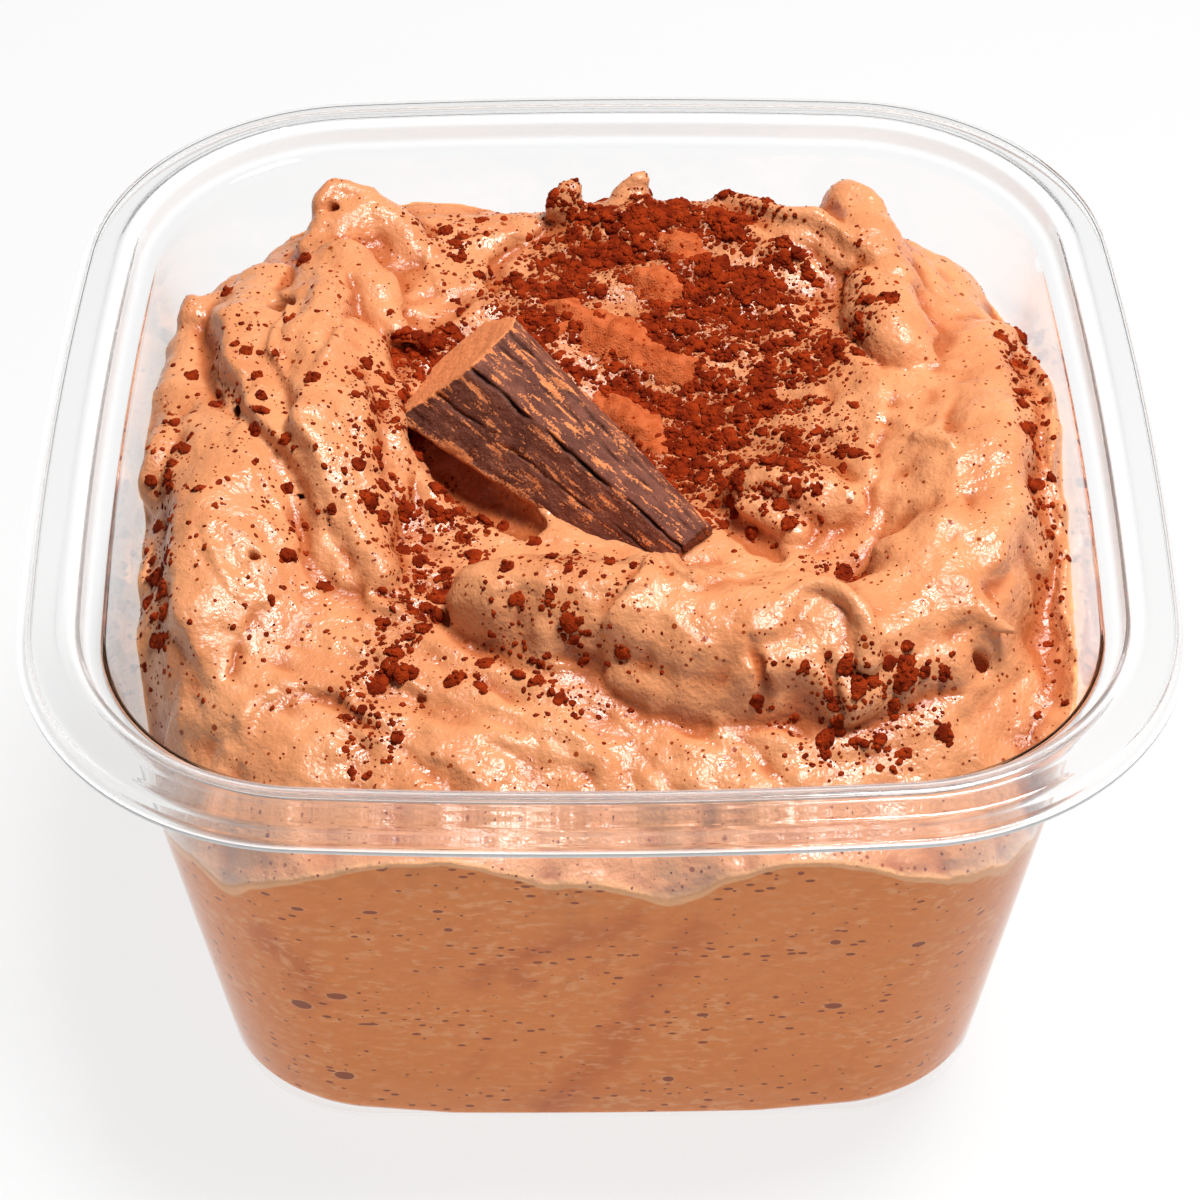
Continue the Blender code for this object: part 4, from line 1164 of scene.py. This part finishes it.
def specks(tree, place, spacing, largest, share):
    """Round specks, one to a cell, of different sizes; the share says how many cells have one."""
    cells = add_node(tree, "ShaderNodeTexVoronoi", {"Vector": place, "Scale": 1 / (spacing * MM)})
    chance = add_node(tree, "ShaderNodeSeparateColor", {0: cells.outputs["Color"]}).outputs
    reach = maths(tree, "MULTIPLY", maths(tree, "POWER", chance[1], 1.4), largest / spacing)
    inside = maths(tree, "LESS_THAN", cells.outputs["Distance"], reach)
    return maths(tree, "MULTIPLY", inside, maths(tree, "LESS_THAN", chance[0], share))


def bumped(tree, shader, height, distance, strength=1.0):
    """Give a shader the relief of a height; the distance is in millimetres."""
    bump = add_node(tree, "ShaderNodeBump", {"Height": height, "Distance": distance * MM, "Strength": strength})
    tree.links.new(bump.outputs[0], shader.inputs["Normal"])


def front_marks(tree, place):
    """Streaks, the painted shade inside the air bubbles, and their rims along the front wall, each as a share."""
    split = add_node(tree, "ShaderNodeSeparateXYZ", {0: place}).outputs
    flat = add_node(tree, "ShaderNodeVectorMath", {0: place, 1: (1 / MM, 0.0, 1 / MM)}, operation="MULTIPLY").outputs[0]
    wobble = add_node(tree, "ShaderNodeTexNoise", {"Vector": place, "Scale": 1 / (6 * MM), "Detail": 3.0})
    shift = add_node(tree, "ShaderNodeVectorMath", {0: wobble.outputs["Color"], 1: (0.5, 0.5, 0.5)}, operation="SUBTRACT")
    frayed = add_node(tree, "ShaderNodeVectorMath",
                      {0: shift.outputs[0], 1: (STREAK_FRAY, 0.0, STREAK_FRAY), 2: flat}, operation="MULTIPLY_ADD").outputs[0]
    streaks, bubbles, rims = 0.0, 0.0, 0.0
    for reach, route in FRONT_STREAKS:
        for start, end in zip(route, route[1:]):
            line = Vector((end[0] - start[0], 0, end[1] - start[1]))
            from_start = add_node(tree, "ShaderNodeVectorMath", {0: frayed, 1: (start[0], 0, start[1])},
                                  operation="SUBTRACT").outputs[0]
            along = add_node(tree, "ShaderNodeVectorMath", {0: from_start, 1: line / line.length_squared},
                             operation="DOT_PRODUCT").outputs["Value"]
            share = add_node(tree, "ShaderNodeClamp", {0: along}).outputs[0]
            foot = add_node(tree, "ShaderNodeVectorMath", {0: line, "Scale": share}, operation="SCALE").outputs[0]
            gap = add_node(tree, "ShaderNodeVectorMath", {0: from_start, 1: foot}, operation="DISTANCE").outputs["Value"]
            streaks = maths(tree, "MAXIMUM", streaks, ranged(tree, gap, reach * STREAK_FADE, 0.0))
    # Painted shade: each air bubble is a dark spot, with a pale ring round it.
    for x, z, long, tall in FRONT_BUBBLES:
        offset = add_node(tree, "ShaderNodeVectorMath", {0: flat, 1: (x, 0, z)}, operation="SUBTRACT").outputs[0]
        scaled = add_node(tree, "ShaderNodeVectorMath", {0: offset, 1: (1 / long, 0, 1 / tall)},
                          operation="MULTIPLY").outputs[0]
        away = add_node(tree, "ShaderNodeVectorMath", {0: scaled}, operation="LENGTH").outputs["Value"]
        bubbles = maths(tree, "MAXIMUM", bubbles, ranged(tree, away, 1.0, 0.85))
        rims = maths(tree, "MAXIMUM", rims, ranged(tree, away, BUBBLE_RIM, 1.0))
    front = maths(tree, "LESS_THAN", split["Y"], FRONT_DEPTH * MM)
    return [maths(tree, "MULTIPLY", mark, front) for mark in (streaks, bubbles, rims)]


def mousse_material(look):
    """Whipped chocolate cream: soft and moist, flecked with cocoa, denser where it wets the plastic, with painted shade
    in its creases and air bubbles and a painted shadow in the hollow under the chunk.
    """
    material, tree, shader, place = new_material("mousse")
    body = mixed(tree, ranged(tree, noise_at(tree, place, 9.0, 4.0), 0.3, 0.7), (*look.mousse_deep, 1),
                 (*look.mousse_pale, 1))
    # Painted shade: the creases get a darker, redder colour in place of their shade.
    body = mixed(tree, maths(tree, "MULTIPLY", attribute(tree, "crease"), 0.9), body, (*look.mousse_crease_shade, 1))
    wet = attribute(tree, "wet")
    slanted = add_node(tree, "ShaderNodeMapping", {"Vector": place, "Rotation": WALL_STREAK_TURN,
                                                   "Scale": WALL_STREAK_SCALE}, vector_type="TEXTURE").outputs[0]
    streaks = ranged(tree, noise_at(tree, slanted, 4.0, 4.0, 0.6), 0.52, 0.78)
    routed, bubbles, rims = front_marks(tree, place)
    streaks = maths(tree, "MAXIMUM", maths(tree, "MULTIPLY", streaks, 0.45),
                    maths(tree, "MULTIPLY", routed, maths(tree, "MULTIPLY_ADD", streaks, 0.4, 0.62)))
    pressed = mixed(tree, streaks, (*look.mousse_wet, 1), (*look.mousse_streak, 1))
    pressed = mixed(tree, maths(tree, "MULTIPLY", rims, 0.6), pressed, (*look.mousse_pale, 1))
    flattened = add_node(tree, "ShaderNodeMapping", {"Vector": place, "Scale": (2.0, 2.0, 1.0)},
                         vector_type="TEXTURE").outputs[0]
    wisps = ranged(tree, noise_at(tree, flattened, 0.9, 3.0, 0.65), 0.50, 0.64)
    patches = ranged(tree, noise_at(tree, flattened, 7.0, 3.0), 0.35, 0.65)
    wisps = maths(tree, "MULTIPLY", wisps, maths(tree, "MULTIPLY_ADD", patches, 0.36, 0.10))
    pressed = mixed(tree, wisps, pressed, (*look.mousse_foam, 1))
    # Painted shade: the air bubbles and small pores at the wall get a dark colour.
    shaded_pores = maths(tree, "MAXIMUM", bubbles, specks(tree, flattened, 1.0, 0.27, 0.8))
    pressed = mixed(tree, shaded_pores, pressed, (*look.mousse_pore_shade, 1))
    line = ranged(tree, attribute(tree, "depth"), EDGE_LINE, 1.7 * EDGE_LINE, 0.85, 0.0)
    pressed = mixed(tree, line, pressed, (*look.mousse_foam, 1))
    body = mixed(tree, wet, body, pressed)
    dusting = attribute(tree, "dusting")
    cloud = ranged(tree, noise_at(tree, place, 0.9, 3.0), 0.28, 0.55)
    # Powder stain and the painted shadow in the hollow under the chunk, broken up by the cloud.
    stain = maths(tree, "MULTIPLY", maths(tree, "MULTIPLY", attribute(tree, "stain"), cloud), 0.85)
    stained = mixed(tree, stain, body, (*look.stain, 1))
    open_skin = maths(tree, "MULTIPLY_ADD", wet, -0.75, 1.0)
    coarse_share = maths(tree, "MULTIPLY", maths(tree, "MULTIPLY_ADD", dusting, 0.4, 0.45), open_skin)
    fine_share = maths(tree, "MULTIPLY", maths(tree, "MULTIPLY_ADD", dusting, 0.5, 0.65), open_skin)
    coarse = specks(tree, place, 1.6, 0.36, coarse_share)
    fine = specks(tree, place, 0.8, 0.22, fine_share)
    flecks = maths(tree, "MAXIMUM", coarse, fine)
    tree.links.new(mixed(tree, flecks, stained, (*look.speck, 1)), shader.inputs["Base Color"])
    shine = ranged(tree, noise_at(tree, place, 2.5, 3.0), 0.3, 0.7, 0.24, 0.42)
    tree.links.new(shine, shader.inputs["Roughness"])
    tree.links.new(maths(tree, "MULTIPLY_ADD", wet, -0.5, 0.5), shader.inputs["Specular IOR Level"])
    skin = maths(tree, "ADD", maths(tree, "MULTIPLY", noise_at(tree, place, 2.0, 3.0, 0.55), 1.0),
                 maths(tree, "MULTIPLY", noise_at(tree, place, 0.5, 2.0), 0.2))
    bumped(tree, shader, skin, 0.32)
    return material


def cocoa_material(name, look, pale):
    """Cocoa powder, caked in lumps or lying smooth."""
    material, tree, shader, place = new_material(name)
    share = ranged(tree, noise_at(tree, place, 1.5, 4.0), 0.3, 0.7)
    first, second = (look.cocoa_dry, look.cocoa_pale) if pale else (look.cocoa_dark, look.cocoa_red)
    tone = mixed(tree, share, (*first, 1), (*second, 1))
    if pale:
        tone = mixed(tree, specks(tree, place, 0.7, 0.26, 0.6), tone, (*look.cocoa_red, 1))
    tree.links.new(tone, shader.inputs["Base Color"])
    shader.inputs["Roughness"].default_value = 0.95
    shader.inputs["Specular IOR Level"].default_value = 0.1
    bumped(tree, shader, noise_at(tree, place, 0.22, 3.0), 0.25)
    return material


def chocolate_material(look):
    """Dark chocolate with a broken grain, dusted with cocoa, with painted shade in its cracks."""
    material, tree, shader, place = new_material("dark_chocolate")
    body = mixed(tree, ranged(tree, noise_at(tree, place, 3.0, 3.0), 0.3, 0.7), (*look.chocolate_deep, 1), (*look.chocolate_bloom, 1))
    crumbs = maths(tree, "MULTIPLY_ADD", noise_at(tree, place, 0.28, 3.0, 0.8), 1.0,
                   maths(tree, "MULTIPLY", noise_at(tree, place, 1.4, 3.0, 0.6), 0.2))
    lengthwise = add_node(tree, "ShaderNodeCombineXYZ",
                          {"X": maths(tree, "MULTIPLY", attribute(tree, "grain_x"), 0.18 * MM),
                           "Y": maths(tree, "MULTIPLY", attribute(tree, "grain_y"), MM),
                           "Z": maths(tree, "MULTIPLY", attribute(tree, "grain_z"), MM)}).outputs[0]
    threads = ranged(tree, noise_at(tree, lengthwise, 0.45, 2.0), 0.54, 0.66)
    crumbs = maths(tree, "MULTIPLY_ADD", threads, 0.22, crumbs)
    share = ranged(tree, maths(tree, "ADD", attribute(tree, "dust"), crumbs), 0.84, 0.90)
    dusted = mixed(tree, share, body, (*look.chocolate_dust, 1))
    # Painted shade inside the cracks.
    crack_shaded = mixed(tree, attribute(tree, "crack"), dusted, (*look.chocolate_crack_shade, 1))
    tree.links.new(crack_shaded, shader.inputs["Base Color"])
    tree.links.new(ranged(tree, share, 0.0, 1.0, 0.55, 0.95), shader.inputs["Roughness"])
    shader.inputs["Specular IOR Level"].default_value = 0.18
    bumped(tree, shader, noise_at(tree, place, 0.5, 4.0, 0.65), 0.25)
    return material


def plastic_material(look):
    """Clear thermoformed plastic, faintly uneven, with a pale trimmed edge, partly frosted and partly a painted
    highlight, and a painted highlight at the bend into the mouth.
    """
    material, tree, shader, place = new_material("clear_plastic")
    shader.inputs["Base Color"].default_value = (*look.plastic, 1)
    shader.inputs["IOR"].default_value = 1.36
    # Painted highlight: less transmission at the trimmed edge and at the bend into the mouth.
    tree.links.new(maths(tree, "SUBTRACT", 1.0, attribute(tree, "frost")), shader.inputs["Transmission Weight"])
    tree.links.new(ranged(tree, noise_at(tree, place, 20.0), 0.3, 0.7, 0.01, 0.035), shader.inputs["Roughness"])
    bumped(tree, shader, noise_at(tree, place, 12.0, 1.0), 0.05)
    return material


def floor_material(look):
    """A matt pale table top."""
    material, tree, shader, place = new_material("table_top")
    tone = mixed(tree, noise_at(tree, place, 40.0), (*look.floor, 1), tuple(channel * 0.995 for channel in look.floor) + (1,))
    tree.links.new(tone, shader.inputs["Base Color"])
    shader.inputs["Emission Color"].default_value = (1, 1, 1, 1)
    shader.inputs["Emission Strength"].default_value = FLOOR_GLOW
    shader.inputs["Roughness"].default_value = 0.8
    return material


def finished(piece, slot, *nodes):
    """Put a piece on the object's body and hide the CAD nodes it stands for; the slot is not used."""
    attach(piece, BODY)
    if nodes:
        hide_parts(*nodes)


class MousseLook(bpy.types.PropertyGroup):
    """The colours of the pieces, with the painted shade and shadow among them."""

    mousse_pale: FloatVectorProperty(name="Mousse, pale", description="The mousse where it is whipped most",
                                     subtype="COLOR", default=(0.80, 0.333, 0.145))
    mousse_deep: FloatVectorProperty(name="Mousse, deep", description="The mousse where it is least whipped",
                                     subtype="COLOR", default=(0.69, 0.252, 0.101))
    # Painted shade: the colour given to the creases in place of their shade.
    mousse_crease_shade: FloatVectorProperty(name="Mousse, creases", description="The mousse deep in its folds",
                                       subtype="COLOR", default=(0.45, 0.105, 0.026))
    mousse_wet: FloatVectorProperty(name="Mousse, wet", description="The mousse that touches the plastic",
                                    subtype="COLOR", default=(0.84, 0.238, 0.034))
    mousse_foam: FloatVectorProperty(name="Mousse, foam", description="The thin edge where it meets the plastic",
                                     subtype="COLOR", default=(1.0, 0.50, 0.23))
    mousse_streak: FloatVectorProperty(name="Mousse, streaks", description="Darker streaks along the plastic",
                                       subtype="COLOR", default=(0.62, 0.12, 0.003))
    # Painted shade inside the air bubbles and small pores at the plastic.
    mousse_pore_shade: FloatVectorProperty(name="Mousse, pores", description="Inside the air bubbles at the plastic",
                                     subtype="COLOR", default=(0.33, 0.055, 0.0))
    speck: FloatVectorProperty(name="Specks", description="Flecks of cocoa in the mousse",
                               subtype="COLOR", default=(0.33, 0.052, 0.004))
    # Also the painted shadow in the hollow under the chunk.
    stain: FloatVectorProperty(name="Stain", description="Mousse stained by the powder on it",
                               subtype="COLOR", default=(0.26, 0.052, 0.014))
    cocoa_dark: FloatVectorProperty(name="Cocoa, dark", description="Damp clumps of cocoa",
                                    subtype="COLOR", default=(0.15, 0.010, 0.001))
    cocoa_red: FloatVectorProperty(name="Cocoa, red", description="The cocoa's main colour",
                                   subtype="COLOR", default=(0.36, 0.036, 0.004))
    cocoa_dry: FloatVectorProperty(name="Cocoa, dry", description="Dry powder where it lies thin",
                                   subtype="COLOR", default=(0.48, 0.085, 0.02))
    cocoa_pale: FloatVectorProperty(name="Cocoa, pale", description="Dry powder lying smooth",
                                    subtype="COLOR", default=(0.66, 0.155, 0.050))
    chocolate_deep: FloatVectorProperty(name="Chocolate, deep", description="The chunk's darkest colour",
                                        subtype="COLOR", default=(0.13, 0.037, 0.023))
    chocolate_bloom: FloatVectorProperty(name="Chocolate, bloom", description="The chunk's paler bloom",
                                         subtype="COLOR", default=(0.24, 0.078, 0.047))
    # Painted shade inside the chunk's cracks.
    chocolate_crack_shade: FloatVectorProperty(name="Chocolate, cracks", description="Inside the chunk's cracks",
                                         subtype="COLOR", default=(0.012, 0.004, 0.003))
    chocolate_dust: FloatVectorProperty(name="Chocolate, dust", description="Powder on the chunk",
                                        subtype="COLOR", default=(0.82, 0.27, 0.10))
    plastic: FloatVectorProperty(name="Plastic", description="Tint of the clear tub",
                                 subtype="COLOR", default=(0.985, 0.99, 0.99))
    floor: FloatVectorProperty(name="Table", description="The table top", subtype="COLOR", default=(0.13, 0.13, 0.13))


class MousseSizes(bpy.types.PropertyGroup):
    """The sizes and amounts that shape the pieces."""

    voxel: FloatProperty(name="Grid", description="Spacing of the grid that the mousse is shaped on",
                         subtype="DISTANCE", default=VOXEL * MM, min=0.0002)
    clump_largest: FloatProperty(name="Largest clump", description="Radius of the largest clump of cocoa",
                                 subtype="DISTANCE", default=1.05 * MM)
    clump_density: FloatProperty(name="Clumps", description="Clumps to a square metre where cocoa lies thickest",
                                 default=1900000.0)
    crumb_density: FloatProperty(name="Crumbs", description="Crumbs to a square metre where cocoa lies thickest",
                                 default=8500000.0)
    knob_density: FloatProperty(name="Knobs", description="Crumbs to a square metre of the clumps they stick to",
                                default=1350000.0)
    grain_density: FloatProperty(name="Grains", description="Grains to a square metre where cocoa lies thickest",
                                 default=5500000.0)
    seed: IntProperty(name="Seed", description="Chance behind the strewn cocoa", default=4)
    key_power: FloatProperty(name="Key light", description="Power of the large light behind", subtype="POWER",
                             default=3.7)
    sky: FloatProperty(name="Surround", description="Brightness of the surround overhead", default=2.38)


class MOUSSE_OT_tub(bpy.types.Operator):
    """Build the clear tub"""

    bl_idname = "mousse.build_tub"
    bl_label = "Clear tub"

    def execute(self, context):
        tub = build_tub(plastic_material(context.scene.mousse_look))
        tub.visible_shadow = False
        tub.visible_diffuse = False
        finished(tub, "clear_plastic", "tub")
        return {"FINISHED"}


class MOUSSE_OT_mass(bpy.types.Operator):
    """Build the mousse with its folds"""

    bl_idname = "mousse.build_mass"
    bl_label = "Mousse"

    def execute(self, context):
        voxel = context.scene.mousse_sizes.voxel / MM
        mousse = build_mousse(voxel, mousse_material(context.scene.mousse_look))
        painted_cocoa_and_shadow(mousse)
        finished(mousse, "mousse", "mousse")
        return {"FINISHED"}


class MOUSSE_OT_chunk(bpy.types.Operator):
    """Build the chunk of dark chocolate"""

    bl_idname = "mousse.build_chunk"
    bl_label = "Chocolate chunk"

    def execute(self, context):
        chunk = build_chunk(chocolate_material(context.scene.mousse_look))
        finished(chunk, "dark_chocolate", "chocolate_chunk")
        return {"FINISHED"}


class MOUSSE_OT_cocoa(bpy.types.Operator):
    """Strew the cocoa over the mousse"""

    bl_idname = "mousse.strew_cocoa"
    bl_label = "Cocoa"

    def execute(self, context):
        look, sizes = context.scene.mousse_look, context.scene.mousse_sizes
        mousse = bpy.data.objects["mousse_mass"]
        caked = cocoa_material("caked_cocoa", look, False)
        clumps = strewn("cocoa_clumps", mousse, 2, caked, {
            "Density": sizes.clump_density, "Smallest": 0.3 * MM, "Largest": sizes.clump_largest, "Evenness": 2.7,
            "Flatness": 0.45, "Lumpiness": 0.7, "Sink": 0.05, "Seed": sizes.seed, "Cover": "cocoa"})
        crumbs = strewn("cocoa_crumbs", mousse, 1, caked, {
            "Density": sizes.crumb_density, "Smallest": 0.12 * MM, "Largest": 0.38 * MM, "Evenness": 1.6,
            "Flatness": 0.5, "Lumpiness": 0.7, "Sink": 0.1, "Seed": sizes.seed + 5, "Cover": "cocoa"})
        paint(clumps.data, "skin", np.ones(len(clumps.data.vertices)))
        knobs = strewn("cocoa_knobs", clumps, 1, caked, {
            "Density": sizes.knob_density, "Smallest": 0.12 * MM, "Largest": 0.42 * MM, "Evenness": 1.4,
            "Flatness": 0.8, "Lumpiness": 0.8, "Sink": 0.0, "Seed": sizes.seed + 3, "Cover": "skin"})
        grains = strewn("cocoa_grains", mousse, 1, caked, {
            "Density": sizes.grain_density, "Smallest": 0.05 * MM, "Largest": 0.17 * MM, "Evenness": 1.6,
            "Flatness": 0.7, "Lumpiness": 0.8, "Sink": 0.1, "Seed": sizes.seed + 9, "Cover": "dusting"})
        heaps = build_heaps(mousse, cocoa_material("smooth_cocoa", look, True))
        for piece in (clumps, knobs, crumbs, grains, heaps):
            finished(piece, "cocoa_powder")
        return {"FINISHED"}


class MOUSSE_OT_stage(bpy.types.Operator):
    """Build the floor, the light and the camera"""

    bl_idname = "mousse.build_stage"
    bl_label = "Stage"

    def execute(self, context):
        scene = context.scene
        look, sizes = scene.mousse_look, scene.mousse_sizes
        form = bmesh.new()
        bmesh.ops.create_circle(form, cap_ends=True, segments=96, radius=2.5)
        floor = bpy.data.objects.new("floor", bpy.data.meshes.new("floor"))
        form.to_mesh(floor.data)
        form.free()
        floor.data.materials.append(floor_material(look))
        scene.collection.objects.link(floor)
        floor.location.z = CAD_BOX[0].z
        world = bpy.data.worlds.new("surround")
        world.use_nodes = True
        tree = world.node_tree
        direction = add_node(tree, "ShaderNodeTexCoord").outputs["Generated"]
        ways = add_node(tree, "ShaderNodeSeparateXYZ", {0: direction}).outputs
        overhead = ranged(tree, ways["Z"], 0.05, 0.6, HORIZON_SHARE * sizes.sky, sizes.sky)
        shade = maths(tree, "MULTIPLY", overhead, maths(tree, "MULTIPLY_ADD", ways["Y"], -FRONT_SHARE, 1.0))
        tree.links.new(shade, tree.nodes["Background"].inputs["Strength"])
        scene.world = world
        key = bpy.data.objects.new("key_light", bpy.data.lights.new("key_light", "AREA"))
        key.data.size = KEY_SIZE
        key.data.energy = sizes.key_power
        key.location = KEY_PLACE
        key.rotation_euler = (Vector((0, 0, RIM_HEIGHT * MM)) - key.location).to_track_quat("-Z", "Y").to_euler()
        scene.collection.objects.link(key)
        camera = bpy.data.objects.new("camera", bpy.data.cameras.new("camera"))
        camera.data.lens = CAMERA_LENS
        camera.data.clip_start = 0.01
        camera.location = [value * MM for value in CAMERA_PLACE]
        camera.rotation_euler = [math.radians(angle) for angle in CAMERA_TURN]
        scene.collection.objects.link(camera)
        scene.camera = camera
        scene.view_settings.view_transform = "Standard"
        return {"FINISHED"}


class MOUSSE_PT_panel(bpy.types.Panel):
    """Lists the builders and their settings"""

    bl_label = "Mousse"
    bl_idname = "MOUSSE_PT_panel"
    bl_space_type = "VIEW_3D"
    bl_region_type = "UI"
    bl_category = "Mousse"

    def draw(self, context):
        for builder in BUILDERS:
            self.layout.operator(builder.bl_idname)
        for group in (context.scene.mousse_sizes, context.scene.mousse_look):
            box = self.layout.box()
            for name in group.__annotations__:
                box.prop(group, name)


BUILDERS = (MOUSSE_OT_tub, MOUSSE_OT_mass, MOUSSE_OT_chunk, MOUSSE_OT_cocoa, MOUSSE_OT_stage)
CLASSES = (MousseLook, MousseSizes, *BUILDERS, MOUSSE_PT_panel)


def register():
    for kind in CLASSES:
        bpy.utils.register_class(kind)
    bpy.types.Scene.mousse_look = PointerProperty(type=MousseLook)
    bpy.types.Scene.mousse_sizes = PointerProperty(type=MousseSizes)


def unregister():
    del bpy.types.Scene.mousse_sizes
    del bpy.types.Scene.mousse_look
    for kind in reversed(CLASSES):
        bpy.utils.unregister_class(kind)


def main():
    register()
    bpy.ops.mousse.build_tub()
    bpy.ops.mousse.build_mass()
    bpy.ops.mousse.build_chunk()
    bpy.ops.mousse.strew_cocoa()
    bpy.ops.mousse.build_stage()
    bpy.context.view_layer.update()


if __name__ == "__main__":
    main()
